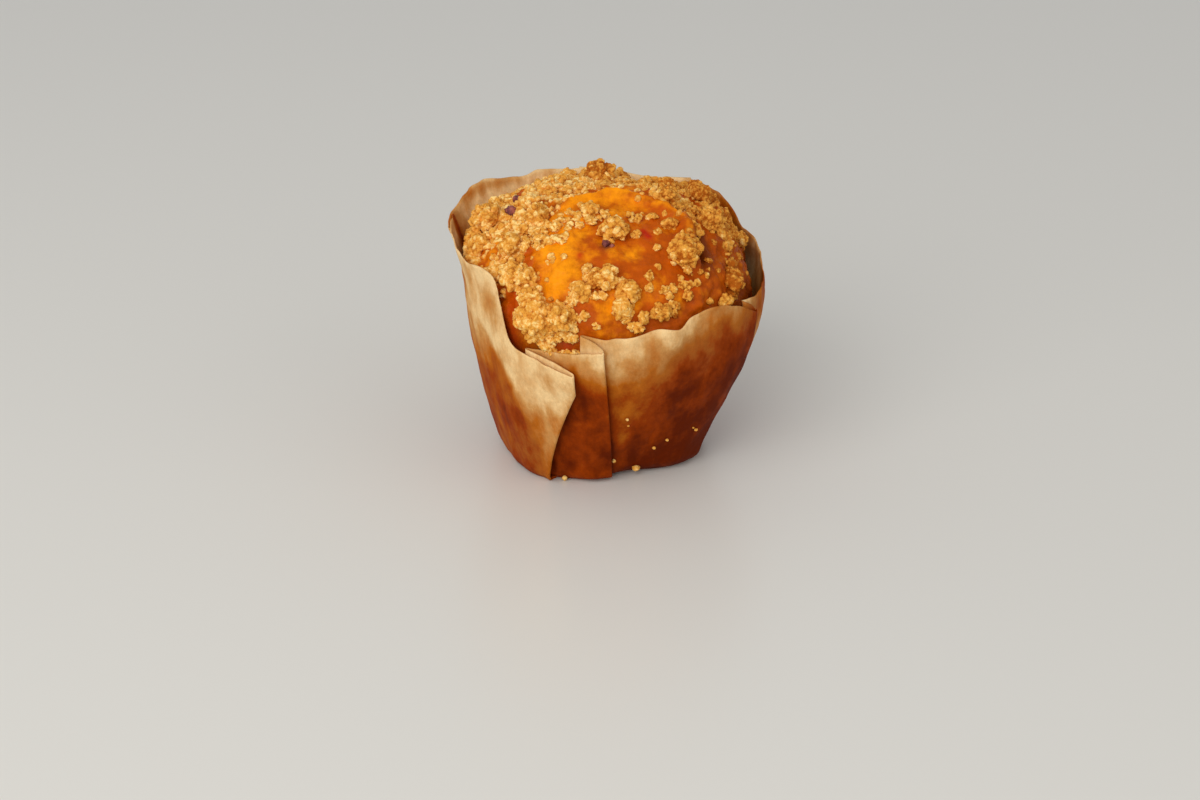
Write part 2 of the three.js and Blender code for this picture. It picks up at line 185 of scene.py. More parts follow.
def seeded(seed: int) -> Iterator[float]:
    """Random numbers from 0 to 1 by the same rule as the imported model's crumbs.

    Args:
        seed: where the row of numbers starts.

    Returns:
        The numbers, one after another.
    """
    state = seed
    while True:
        state = (state * 1664525 + 1013904223) % 4294967296
        yield state / 4294967296


def new_object(
    name: str,
    points: Array,
    faces: Sequence[Sequence[int]],
    marks: dict[str, Array] | None = None,
) -> Object:
    """Makes a mesh object at the origin and links it to the scene.

    Args:
        name: the object's name.
        points: its vertices in mm.
        faces: the vertex numbers of each face.
        marks: values kept on the vertices for its material, by name.

    Returns:
        The new object.
    """
    mesh = bpy.data.meshes.new(name)
    mesh.from_pydata((points.reshape(-1, 3) * MM).tolist(), [], list(faces))
    for mark, values in (marks or {}).items():
        kept = mesh.attributes.new(mark, "FLOAT", "POINT")
        kept.data.foreach_set("value", values.reshape(-1).astype(np.float32))
    mesh.shade_smooth()
    mesh.update()
    made = bpy.data.objects.new(name, mesh)
    bpy.context.scene.collection.objects.link(made)
    return made


def unit_ball(fineness: int) -> tuple[Array, list[list[int]]]:
    """The points and faces of a ball of radius 1, divided that finely.

    Args:
        fineness: how often its faces are divided.

    Returns:
        Its points, and the vertex numbers of each face.
    """
    body = bmesh.new()
    bmesh.ops.create_icosphere(body, subdivisions=fineness, radius=1.0)
    unit = np.array([v.co for v in body.verts])
    corners = [[v.index for v in face.verts] for face in body.faces]
    body.free()
    return unit, corners


def joined_balls(
    name: str, shapes: list[Array], corners: list[list[int]], marks: dict[str, Array] | None = None
) -> Object:
    """Makes one object of many balls that have the same faces.

    Args:
        name: the object's name.
        shapes: the points of each ball in mm.
        corners: the vertex numbers of one ball's faces.
        marks: values kept on the vertices for its material, by name.

    Returns:
        The new object.
    """
    count = len(shapes[0])
    faces = [[index * count + i for i in face] for index in range(len(shapes)) for face in corners]
    return new_object(name, np.concatenate(shapes), faces, marks)


def ring_faces(rings: int, count: int, closed: bool) -> list[tuple[int, int, int, int]]:
    """The faces between rings of points.

    Args:
        rings: how many rings there are.
        count: how many points each has.
        closed: whether the last ring joins the first.

    Returns:
        Four vertex numbers for each face.
    """
    faces = []
    for ring in range(rings if closed else rings - 1):
        low, high = ring * count, (ring + 1) % rings * count
        faces += [(low + i, low + (i + 1) % count, high + (i + 1) % count, high + i) for i in range(count)]
    return faces


def cap_faces(start: int, count: int, middle: int, flip: bool) -> list[tuple[int, int, int]]:
    """The faces that close a ring of points with its middle one, turned over if flip is set."""
    edges = [(start + i, start + (i + 1) % count) for i in range(count)]
    return [(b, a, middle) if flip else (a, b, middle) for a, b in edges]


class NodeMaker:
    """Adds nodes to a tree, with their values and links set by name."""

    def __init__(self, tree: bpy.types.NodeTree) -> None:
        """Keeps the tree that the nodes go into."""
        self.tree = tree

    def put(self, value: object, socket: Socket) -> None:
        """Links an output to a socket, or sets a plain value on it.

        Args:
            value: what feeds the socket.
            socket: the socket that is fed.
        """
        if isinstance(value, Socket):
            self.tree.links.new(value, socket)
        else:
            socket.default_value = value

    def add(self, kind: str, inputs: dict[str, object] | None = None, **settings: object) -> bpy.types.Node:
        """Adds one node.

        Args:
            kind: the node's type.
            inputs: what goes into its sockets by name, a socket being linked and a value set.
            settings: the node's own options.

        Returns:
            The new node.
        """
        node = self.tree.nodes.new(kind)
        for option, value in settings.items():
            setattr(node, option, value)
        for name, value in (inputs or {}).items():
            self.put(value, self.socket(node.inputs, name))
        return node

    @staticmethod
    def socket(sockets: Sequence[Socket], name: str) -> Socket:
        """The socket of that name or number that is in use.

        Args:
            sockets: the node's inputs or outputs.
            name: the socket's name, or its number.

        Returns:
            The socket.
        """
        if name.isdigit():
            return sockets[int(name)]
        return next(s for s in sockets if s.enabled and s.name == name)

    def out(self, kind: str, inputs: dict[str, object] | None = None, **settings: object) -> Socket:
        """Adds one node and returns its first output that is in use."""
        node = self.add(kind, inputs, **settings)
        return next(s for s in node.outputs if s.enabled)

    def math(self, operation: str, first: object, second: object = 0.0) -> Socket:
        """A sum, product or other operation on two numbers."""
        return self.out("ShaderNodeMath", {"0": first, "1": second}, operation=operation)

    def multiplied(self, first: object, second: object) -> Socket:
        """Two vectors or colours multiplied."""
        return self.out("ShaderNodeVectorMath", {"0": first, "1": second}, operation="MULTIPLY")

    def scaled(self, vector: object, by: object) -> Socket:
        """A vector made longer or shorter."""
        return self.out("ShaderNodeVectorMath", {"0": vector, "Scale": by}, operation="SCALE")

    def nudged(self, value: object, pattern: object, by: float) -> Socket:
        """A value moved up and down by a pattern that runs from 0 to 1."""
        return self.math("ADD", value, self.math("MULTIPLY", self.math("SUBTRACT", pattern, 0.5), by))

    def ramp(self, value: object, low: object, high: object, to: tuple[float, float] = (0.0, 1.0)) -> Socket:
        """A value eased from one range to another.

        Args:
            value: what is eased.
            low: where it starts to rise.
            high: where it is full.
            to: what it becomes at both ends.

        Returns:
            The eased value.
        """
        return self.out(
            "ShaderNodeMapRange",
            {"Value": value, "From Min": low, "From Max": high, "To Min": to[0], "To Max": to[1]},
            interpolation_type="SMOOTHSTEP",
        )

    def mix(self, share: object, first: object, second: object) -> Socket:
        """Two colours mixed by a share."""
        return self.out("ShaderNodeMix", {"Factor": share, "A": first, "B": second}, data_type="RGBA")

    def mark(self, name: str) -> Socket:
        """A value kept on the mesh's vertices."""
        return self.add("ShaderNodeAttribute", attribute_name=name).outputs["Fac"]


class Effect(Enum):
    """Shader effects that several finishes share."""

    MOTTLE = "mottle"
    GRAIN = "grain"


class Effects:
    """The shared shader groups, each made once."""

    def __init__(self) -> None:
        """Makes every group."""
        self.trees = {Effect.MOTTLE: self.mottle(), Effect.GRAIN: self.grain()}

    @staticmethod
    def blank(name: str, inputs: dict[str, float], output: str) -> tuple[NodeMaker, dict[str, object]]:
        """Starts a group with number inputs and one number output.

        Args:
            name: the group's name.
            inputs: each input with its value at first.
            output: the output's name.

        Returns:
            The maker of its nodes, and its inputs by name.
        """
        tree = bpy.data.node_groups.new(name, "ShaderNodeTree")
        for label, value in inputs.items():
            socket = tree.interface.new_socket(label, in_out="INPUT", socket_type="NodeSocketFloat")
            socket.default_value = value
        tree.interface.new_socket(output, in_out="OUTPUT", socket_type="NodeSocketFloat")
        maker = NodeMaker(tree)
        entry = maker.add("NodeGroupInput")
        return maker, {label: entry.outputs[label] for label in inputs}

    def mottle(self) -> bpy.types.NodeTree:
        """Cloudy patches from 0 to 1, drawn out in height, for stains, bake and crumb colours."""
        maker, given = self.blank(
            "mottle", {"Scale": 100.0, "Drawn out": 1.0, "Low": 0.35, "High": 0.65, "Shift": 0.0}, "Mask"
        )
        place_at = maker.add("ShaderNodeTexCoord").outputs["Object"]
        stretch = maker.out("ShaderNodeCombineXYZ", {"X": 1.0, "Y": 1.0, "Z": given["Drawn out"]})
        shaped = maker.multiplied(place_at, stretch)
        moved = maker.out("ShaderNodeVectorMath", {"0": shaped, "1": given["Shift"]}, operation="ADD")
        cloud = maker.out(
            "ShaderNodeTexNoise", {"Vector": moved, "Scale": given["Scale"], "Detail": 4.0, "Roughness": 0.6}
        )
        maker.add("NodeGroupOutput", {"Mask": maker.ramp(cloud, given["Low"], given["High"])})
        return maker.tree

    def grain(self) -> bpy.types.NodeTree:
        """Fine pits and bumps as a height from 0 to 1, for paper fibre, cake pores and sugar."""
        maker, given = self.blank("grain", {"Fine": 1500.0, "Coarse": 400.0, "Balance": 0.5}, "Height")
        place_at = maker.add("ShaderNodeTexCoord").outputs["Object"]
        fine = maker.out("ShaderNodeTexNoise", {"Vector": place_at, "Scale": given["Fine"], "Detail": 2.0})
        coarse = maker.out(
            "ShaderNodeTexNoise", {"Vector": place_at, "Scale": given["Coarse"], "Detail": 3.0}
        )
        height = maker.out("ShaderNodeMix", {"Factor": given["Balance"], "A": fine, "B": coarse})
        maker.add("NodeGroupOutput", {"Height": height})
        return maker.tree

    def mottled(
        self,
        maker: NodeMaker,
        scale: float,
        shift: float = 0.0,
        edges: tuple[float, float] = (0.3, 0.7),
        drawn_out: float = 1.0,
    ) -> Socket:
        """Places the mottle in a material, sharper for closer edges, taller for drawn_out under 1."""
        inputs = {"Scale": scale, "Drawn out": drawn_out, "Low": edges[0], "High": edges[1], "Shift": shift}
        return maker.out("ShaderNodeGroup", inputs, node_tree=self.trees[Effect.MOTTLE])

    def grainy(self, maker: NodeMaker, fine: float, coarse: float, balance: float = 0.5) -> Socket:
        """Places the grain in a material, from two scales and the share of the coarser one."""
        inputs = {"Fine": fine, "Coarse": coarse, "Balance": balance}
        return maker.out("ShaderNodeGroup", inputs, node_tree=self.trees[Effect.GRAIN])


def new_material(name: str) -> tuple[Material, NodeMaker, bpy.types.Node]:
    """An empty material with its Principled shader joined to the output.

    Args:
        name: the material's name.

    Returns:
        The material, the maker of its nodes and the shader.
    """
    material = bpy.data.materials.new(name)
    material.use_nodes = True
    material.node_tree.nodes.clear()
    maker = NodeMaker(material.node_tree)
    shader = maker.add("ShaderNodeBsdfPrincipled")
    maker.add("ShaderNodeOutputMaterial", {"Surface": shader.outputs["BSDF"]})
    return material, maker, shader


def finish_shader(
    maker: NodeMaker,
    shader: bpy.types.Node,
    colour: object,
    roughness: object,
    gloss: float,
    relief: Socket | None = None,
) -> None:
    """Sets what a material's Principled shader shows.

    Args:
        maker: adds the material's nodes.
        shader: the Principled shader.
        colour: its base colour.
        roughness: from 0 for a mirror to 1 for chalk.
        gloss: how strongly it reflects, as the specular level.
        relief: the normal that fine bumps give it.
    """
    maker.put(colour, shader.inputs["Base Color"])
    maker.put(roughness, shader.inputs["Roughness"])
    maker.put(gloss, shader.inputs["Specular IOR Level"])
    if relief is not None:
        maker.put(relief, shader.inputs["Normal"])


def bumps(maker: NodeMaker, height: Socket, depth: float, strength: float) -> Socket:
    """The normal that bumps of a depth in metres give."""
    return maker.out("ShaderNodeBump", {"Strength": strength, "Distance": depth, "Height": height})


@dataclass(frozen=True)
class Parchment:
    """Baking parchment: pale where it stands free, and orange to dark brown where butter soaked in, with
    painted shade in the same marks along hidden folds, in the front flap's shadow and on the shaded right
    side.
    """

    dry: Colour = srgb(237, 199, 142)
    tan: Colour = srgb(204, 148, 84)
    ochre: Colour = srgb(180, 98, 20)
    rust: Colour = srgb(148, 56, 2)
    dark: Colour = srgb(98, 30, 1)
    # A greyer brown, mixed in where marked browned_and_shaded: painted shade on the paper's right side, and
    # the front flap foot's own colour.
    brown: Colour = srgb(152, 94, 46)
    dry_roughness: float = 0.65
    greasy_roughness: float = 0.55
    fibre_depth: float = 0.00006
    fibre_shade: tuple[float, float] = (0.9, 1.07)
    cloud_share: float = 0.26
    streak_share: float = 0.13
    tan_from: float = 0.22
    ochre_from: float = 0.48
    rust_from: float = 0.72
    browning: float = 0.5
    gloss: float = 0.03

    def build(self, effects: Effects) -> Material:
        """Makes the material.

        Args:
            effects: the shared shader groups.

        Returns:
            The material.
        """
        material, maker, shader = new_material("parchment")
        clouds = effects.mottled(maker, 110.0, drawn_out=0.7)
        soak_and_shade = maker.nudged(maker.mark("soak_and_shade"), clouds, self.cloud_share)
        streaks = effects.mottled(maker, 330.0, shift=0.3, drawn_out=0.4)
        soak_and_shade = maker.nudged(soak_and_shade, streaks, self.streak_share)
        ramp = maker.add("ShaderNodeValToRGB", {"Fac": soak_and_shade})
        stops = ramp.color_ramp.elements
        stops[0].color, stops[1].color = self.dry, self.dark
        between = ((self.tan_from, self.tan), (self.ochre_from, self.ochre), (self.rust_from, self.rust))
        for position, colour in between:
            stops.new(position).color = colour
        # The greyer brown goes in where marked browned_and_shaded and half soaked: painted shade on the right
        # side, and the flap foot's own colour.
        half_soaked = maker.ramp(soak_and_shade, 0.85, 0.5, (0.0, self.browning))
        browner = maker.math("MULTIPLY", maker.mark("browned_and_shaded"), half_soaked)
        browner = maker.math("MULTIPLY", browner, maker.ramp(soak_and_shade, 0.1, 0.3))
        fibre = effects.grainy(maker, 2600.0, 800.0)
        colour = maker.mix(browner, ramp.outputs["Color"], self.brown)
        colour = maker.multiplied(colour, maker.ramp(fibre, 0.3, 0.7, self.fibre_shade))
        rough = maker.ramp(soak_and_shade, 0.1, 0.7, (self.dry_roughness, self.greasy_roughness))
        finish_shader(maker, shader, colour, rough, self.gloss, bumps(maker, fibre, self.fibre_depth, 0.6))
        return material


@dataclass(frozen=True)
class Streusel:
    """Baked butter crumble: dry, sandy and golden tan, each knob a little different."""

    dark: Colour = srgb(172, 88, 14)
    middle: Colour = srgb(228, 158, 60)
    light: Colour = srgb(255, 218, 138)
    roughness: float = 0.85
    sugar_depth: float = 0.0003
    # Darker towards the right across these x values in metres: painted shade, partly toasting.
    toast_and_shade_across: tuple[float, float] = (-0.004, 0.03)
    toast_and_shade_right: float = 0.3
    cloud_share: float = 0.4
    sand_share: float = 0.5
    gloss: float = 0.1

    def colour(self, maker: NodeMaker, effects: Effects, tone: Socket) -> Socket:
        """The crumble's colour for a tone from 0 to 1: sandy, and darker towards the right as painted shade
        that is partly toasting.

        Args:
            maker: adds the material's nodes.
            effects: the shared shader groups.
            tone: how light each knob is.

        Returns:
            The colour.
        """
        spot = maker.add("ShaderNodeTexCoord").outputs["Object"]
        across = maker.add("ShaderNodeSeparateXYZ", {"Vector": spot}).outputs["X"]
        # Painted shade: the crumble is made darker towards the right, away from the light, partly as
        # toasting.
        toasted_and_shaded = maker.ramp(across, *self.toast_and_shade_across, (0.0, self.toast_and_shade_right))
        shade = maker.nudged(tone, effects.mottled(maker, 420.0), self.cloud_share)
        shade = maker.nudged(shade, effects.mottled(maker, 1500.0, shift=0.2), self.sand_share)
        shade = maker.math("SUBTRACT", shade, toasted_and_shaded)
        colour = maker.mix(maker.ramp(shade, -0.1, 0.5), self.dark, self.middle)
        return maker.mix(maker.ramp(shade, 0.45, 1.1), colour, self.light)

    def build(self, effects: Effects) -> Material:
        """Makes the material.

        Args:
            effects: the shared shader groups.

        Returns:
            The material.
        """
        material, maker, shader = new_material("streusel")
        sugar = bumps(maker, effects.grainy(maker, 2600.0, 1100.0), self.sugar_depth, 1.0)
        colour = self.colour(maker, effects, maker.mark("tone"))
        finish_shader(maker, shader, colour, self.roughness, self.gloss, sugar)
        return material


@dataclass(frozen=True)
class GlazedCrust:
    """The cake's glazed crust: golden orange where it burst, with a painted highlight along the burst's lip
    and a painted shadow just outside it, browner below and on the right.
    """

    gold: Colour = srgb(250, 150, 5)
    orange: Colour = srgb(192, 82, 0)
    brown: Colour = srgb(122, 50, 4)
    berry: Colour = srgb(74, 22, 30)
    red: Colour = srgb(186, 38, 6)
    roughness: tuple[float, float] = (0.45, 0.75)
    pore_depth: float = 0.0003
    crumble: Streusel = Streusel()
    drift_share: float = 0.3
    baked_drift: float = 0.7
    speck_share: float = 0.18
    gloss: float = 0.08

    def build(self, effects: Effects) -> Material:
        """Makes the material.

        Args:
            effects: the shared shader groups.

        Returns:
            The material.
        """
        material, maker, shader = new_material("glazed_crust")
        speck = effects.mottled(maker, 620.0, shift=0.7, edges=(0.42, 0.7))
        clouds = maker.math("ADD", effects.mottled(maker, 170.0), effects.mottled(maker, 420.0, shift=0.4))
        drift = maker.math("MULTIPLY", maker.math("SUBTRACT", clouds, 1.0), self.drift_share)
        golden = maker.ramp(maker.math("ADD", maker.mark("golden"), drift), 0.0, 1.0)
        colour = maker.mix(golden, self.orange, self.gold)
        # baked_and_shaded holds the crust's real browning and the painted shadow behind the burst's lip.
        baked_and_shaded = maker.math("SUBTRACT", maker.mark("baked_and_shaded"), maker.math("MULTIPLY", drift, self.baked_drift))
        colour = maker.mix(maker.ramp(baked_and_shaded, 0.0, 1.0), colour, self.brown)
        colour = maker.mix(maker.math("MULTIPLY", speck, self.speck_share), colour, self.brown)
        colour = maker.mix(maker.mark("reddened"), colour, self.red)
        colour = maker.mix(maker.mark("stained"), colour, self.berry)
        crumbly = maker.mark("crumbly")
        crumbs = self.crumble.colour(maker, effects, crumbly)
        colour = maker.mix(maker.ramp(crumbly, 0.15, 0.7), colour, crumbs)
        rough = maker.ramp(maker.math("ADD", speck, crumbly), 0.0, 1.0, self.roughness)
        pores = bumps(maker, effects.grainy(maker, 1700.0, 520.0, 0.6), self.pore_depth, 0.7)
        finish_shader(maker, shader, colour, rough, self.gloss, pores)
        return material


@dataclass(frozen=True)
class CookedFruit:
    """Bits of dark red fruit that burst and stewed in the oven."""

    skin: Colour = srgb(96, 46, 48)
    pulp: Colour = srgb(164, 92, 76)
    roughness: float = 0.6
    gloss: float = 0.15

    def build(self, effects: Effects) -> Material:
        """Makes the material.

        Args:
            effects: the shared shader groups.

        Returns:
            The material.
        """
        material, maker, shader = new_material("cooked_fruit")
        colour = maker.mix(effects.mottled(maker, 700.0, edges=(0.35, 0.65)), self.skin, self.pulp)
        finish_shader(maker, shader, colour, self.roughness, self.gloss)
        return material


@dataclass(frozen=True)
class Wall:
    """Where the innermost layer of the case stands, in mm.

    A round foot, pressed in and rounded off at the front right, opens to a wider mouth. Lopsided
    values are added at the right and taken off at the left.
    """

    foot: float = 26.0
    foot_lopsided: float = -1.0
    dent: float = 5.0
    dent_bearing: float = 14.0
    dent_spread: float = 32.0
    tuck_least: float = 0.8
    tuck_more: float = 2.2
    tuck_bearing: float = 35.0
    tuck_spread: float = 50.0
    tuck_height: float = 4.0
    mouth: float = 38.2
    mouth_lopsided: float = 1.5
    mouth_z: float = 50.0
    bow: float = 0.685
    bow_lopsided: float = 0.015
    bow_drop: float = -0.495
    bow_drop_lopsided: float = -0.555
    lean: float = 0.12
    petal_lean: float = 0.3
    petal_bearing: float = -118.0
    petal_spread: float = 34.0

    def radius(self, bearing: Number, z: Number) -> Number:
        """The wall's radius at bearings and heights.

        Args:
            bearing: in degrees.
            z: the height in mm.

        Returns:
            The radius in mm.
        """
        side = np.sin(np.radians(bearing))
        foot = self.foot + self.foot_lopsided * side
        foot = foot - self.dent * bell(bearing, self.dent_bearing, self.dent_spread)
        mouth = self.mouth + self.mouth_lopsided * side
        t = np.minimum(z / self.mouth_z, 1.0)
        bow = self.bow + self.bow_lopsided * side
        bow = bow + (self.bow_drop + self.bow_drop_lopsided * side) * (1.0 - 2.0 * t)
        tuck = self.tuck_least + self.tuck_more * bell(bearing, self.tuck_bearing, self.tuck_spread)
        tuck = tuck * np.maximum(0.0, 1.0 - z / self.tuck_height) ** 2
        lean = self.lean + self.petal_lean * bell(bearing, self.petal_bearing, self.petal_spread)
        return lerp(foot, mouth, t + t * (1.0 - t) * bow) - tuck + lean * np.maximum(0.0, z - self.mouth_z)


@dataclass(frozen=True)
class Pleat:
    """A pleat of the sheet: its outer edge, the layer that it hides and the panel after it.

    Pairs are values at the foot and from top_z up. rim gives the next panel's rim as bearing and
    height, and inner_rim_z the rim at the hidden fold. soak_and_shade gives how far butter soaked into
    the panel that ends in this pleat, as height and share, partly painted shade on the middle panel,
    which the front flap shades, and soak_rise the bearing from which it soaked higher, over how many
    degrees and by how much.
    """

    foot: float
    top: float
    top_z: float
    depth: tuple[float, float]
    standoff: tuple[float, float]
    climb: float
    rim_z: float
    inner_rim_z: float
    rim: tuple[tuple[float, float], ...]
    soak_and_shade: tuple[tuple[float, float], ...]
    soak_rise: tuple[float, float, float] = (0.0, 1.0, 0.0)

    def share(self, z: Number) -> Number:
        """How far up the pleat a height is, from 0 to 1."""
        return np.clip(z / self.top_z, 0.0, 1.0)

    def edge(self, z: Number) -> Number:
        """The bearing of the outer edge."""
        return lerp(self.foot, self.top, self.share(z))

    def depth_at(self, z: Number) -> Number:
        """How far back the hidden layer reaches."""
        return lerp(*self.depth, self.share(z))

    def soaked(self, bearing: Number, z: Number) -> Number:
        """How far butter soaked into the panel that ends in this pleat, with painted shade on the middle
        panel where the front flap shades it.
        """
        start, width, rise = self.soak_rise
        return profile(self.soak_and_shade, z - rise * fade(bearing, start, width))

    def belly(self, z: Number, from_edge: Number) -> Number:
        """How far the sheet stands off the layers under it."""
        near = np.clip(1.0 - from_edge / self.depth_at(z), 0.0, 1.0)
        return lerp(*self.standoff, self.share(z)) * near**2


LEFT_SOAK = (
    (0, 0.76), (20, 0.7), (28, 0.62), (32, 0.52), (36, 0.42), (40, 0.26), (44, 0.1), (48, 0.18), (54, 0.22),
)
FLAP_SOAK = ((0, 0.56), (6, 0.54), (12, 0.5), (18, 0.42), (22, 0.33), (26, 0.13), (30, 0.0))
# The middle panel is darker low down partly as painted shade, where the front flap shades it, and partly as
# soak.
MIDDLE_SOAK = ((0, 0.84), (18, 0.87), (24, 0.76), (30, 0.68), (34, 0.6), (37, 0.42), (40, 0.16), (43, 0.06))
RIGHT_SOAK = (
    (-20, 1.0), (2, 0.94), (14, 0.88), (22, 0.8), (28, 0.72), (33, 0.6), (37, 0.36), (41, 0.18), (46, 0.1),
)
BACK_SOAK = ((0, 0.9), (20, 0.76), (32, 0.52), (39, 0.28), (44, 0.08), (52, 0.0))

FRONT_FLAP = Pleat(-32, -11.6, 31.5, (2.5, 13.5), (1.2, 2.6), 14, 37.5, 41.4, ((-19.2, 42),), LEFT_SOAK)
FRONT_SEAM = Pleat(
    3, -1.3, 42, (2, 5.6), (0.6, 0.9), 9, 43.8, 47.5,
    ((-1, 46.5), (14, 47.7), (19, 49.2), (27, 48.5), (31, 50.2), (40, 51.9), (46, 51.4), (54, 49.3)),
    MIDDLE_SOAK,
)
RIGHT_EDGE = Pleat(
    62, 63, 44, (2, 4), (0.1, 0.2), 14, 45.8, 49.6,
    ((68, 48.4), (92, 47.6), (95, 49.6), (109, 52.6), (119, 53), (126, 57.2), (133, 59.4), (147, 60)),
    RIGHT_SOAK, (8.0, 40.0, 14.0),
)
BACK_EDGE = Pleat(156, 160, 60, (2, 9), (0.2, 0.6), 12, 58.8, 60.8, ((166, 59.8), (172, 60.4)), BACK_SOAK)
BACK_SEAM = Pleat(
    186, 190, 60, (2, 7), (0.1, 0.4), 8, 61.4, 61.6,
    ((194, 61.7), (207, 62.6), (214, 61.4), (222, 62.3), (230, 63.2), (237, 62.6), (247, 60.1), (256, 58.7)),
    BACK_SOAK,
)
LEFT_EDGE = Pleat(
    248, 260, 56, (2, 4), (0.1, 0.3), 14, 57.2, 60,
    (
        (265, 60.2), (273, 60.2), (280, 59), (288, 58.4), (295, 57.8), (305, 59), (313, 57.8),
        (315.6, 52.8), (318.6, 47), (320, 43), (323, 41.2), (330, 40.1),
    ),
    BACK_SOAK,
)


@dataclass(frozen=True)
class Patch:
    """A place on the wall with its reach in degrees and mm, and its strength."""

    bearing: float
    z: float
    wide: float
    high: float
    strength: float

    def at(self, bearing: Number, z: Number) -> Number:
        """The patch's value at bearings and heights."""
        return self.strength * bell(bearing, self.bearing, self.wide) * hill(z - self.z, self.high)


@dataclass
class PaperCase:
    """The parchment case: one pleated sheet round the cake, and its flat base."""

    wall: Wall
    pleats: tuple[Pleat, ...] = (FRONT_FLAP, FRONT_SEAM, RIGHT_EDGE, BACK_EDGE, BACK_SEAM, LEFT_EDGE)
    thickness: float = 0.26
    layer: float = 0.78
    foot_z: float = 0.14
    rows: int = 64
    column_step: float = 1.15
    sharpest_mitre: float = 0.7
    row_crowding: float = 0.9
    base_thickness: float = 0.5
    base_soak: float = 0.8
    foot_pressed: float = 1.5
    free_from: tuple[float, float] = (38.0, 12.0)
    ripple_stretch: float = 0.55
    buckle: float = 0.75
    buckle_size: float = 11.0
    crease: float = 0.25
    crease_size: float = 6.5
    crinkle: float = 0.32
    crinkle_size: float = 4.2
    rim_fray: float = 0.28
    fray_size: float = 3.0
    cloudy: float = 0.1
    cloudy_size: float = 8.0
    cloudy_below: tuple[float, float] = (46.0, -8.0)
    # Soak patches by bearing, height, reach and strength. The one at bearing -10 is also the front flap's
    # painted shadow, and the one at 68 is also painted shade on the dark right edge.
    stains_and_shade: tuple[Patch, ...] = each(
        Patch, (-104, 51, 6, 9, 0.42), (-84, 44, 9, 5, 0.2), (-70, 52, 6, 5, 0.12), (-10, 30, 4.5, 8, 0.36),
        (8, 15, 4.5, 12, -0.3), (40, 14, 9, 12, 0.12), (-53, 50, 6, 5, 0.42), (26, 28, 8, 7, 0.08),
        (-50, 34, 7, 5, 0.12), (31, 47, 6, 4, -0.18), (56, 45, 8, 6, -0.12), (68, 44, 8, 6, 0.35),
        (84, 47, 16, 8, 0.55), (-112, 56, 12, 7, 0.22), (-124, 61.5, 26, 1.6, 0.3), (23, 46, 4, 4, -0.2),
        (17, 45, 4, 3, 0.24), (128, 55, 18, 8, 0.6),
    )
    # Where the greyer brown goes: painted shade on the right panel at bearing 36 and on its edge at 62, and
    # the front flap's own colour at its foot at -40.
    browned_and_shaded: tuple[Patch, ...] = each(
        Patch, (36, 38, 22, 12, 1.0), (62, 44, 10, 8, 0.8), (-40, 10, 9, 10, 1.0),
    )
    folds: tuple[Patch, ...] = each(
        Patch, (23, 50, 4.5, 9, 1.0), (13, 50, 5, 8, -0.45), (34, 52, 5, 8, -0.4), (42, 52, 4.5, 9, 0.6),
        (-72, 58, 7, 12, 0.7), (-58, 54, 6, 12, -0.5), (-19, 37, 6, 5, 0.9), (-6, 1.2, 13, 1.6, 0.9),
    )
    doubled_from: float = -37.0
    doubled_lean: float = 14.0
    doubled_top: float = 36.0
    doubled_bend: float = 3.3
    doubled_wander: float = 3.0
    doubled_wander_size: float = 6.0
    doubled_edge: tuple[float, float] = (-3.0, 9.0)
    doubled_left: float = -100.0
    # Painted shade along the hidden fold beside each pleat's edge, where the paper is also greasier; it is
    # added to the soak.
    valley_shade: float = 0.15
    valley_width: float = 0.6
    valley_fade: float = 8.0
    near_paper: float = 2.5
    near_rim: float = 0.6
    gap: float = 0.25

    @property
    def fold(self) -> float:
        """Half the width of the bend at the edge of a pleat."""
        return self.layer / 2

    def arc_turn(self, arc: Number, bearing: Number, z: Number) -> Number:
        """An arc along the wall, in degrees."""
        return np.degrees(arc / self.wall.radius(bearing, z))

    def panel_start(self, pleat: Pleat, z: Number) -> Number:
        """Where the panel after a pleat starts, at the hidden fold."""
        edge = pleat.edge(z)
        return edge - self.arc_turn(pleat.depth_at(z) - self.fold, edge, z)

    def panel_end(self, pleat: Pleat, z: Number) -> Number:
        """Where a panel ends, just short of its own pleat's outer edge."""
        edge = pleat.edge(z)
        return edge - self.arc_turn(self.fold, edge, z)

    def rim_line(self, before: Pleat, pleat: Pleat, turn: float) -> tuple[Array, Array]:
        """A panel's rim.

        Args:
            before: the pleat that the panel comes out of.
            pleat: the pleat that it ends in.
            turn: taken off bearings given past a whole turn.

        Returns:
            The bearings and the heights of its points, with their corners softened.
        """
        corners = [(float(self.panel_start(before, before.inner_rim_z)) - turn, before.inner_rim_z)]
        corners += [(bearing - turn, z) for bearing, z in before.rim]
        corners += [(float(self.panel_end(pleat, pleat.rim_z)), pleat.rim_z)]
        known, heights = np.array(corners).T
        count = max(3, math.ceil((known[-1] - known[0]) / self.column_step))
        bearings = np.linspace(known[0], known[-1], count + 1)
        z = np.interp(bearings, known, heights)
        soft = np.convolve(np.pad(z, 1, mode="edge"), (0.25, 0.5, 0.25), mode="valid")
        soft[[0, -1]] = z[[0, -1]]
        return bearings, soft

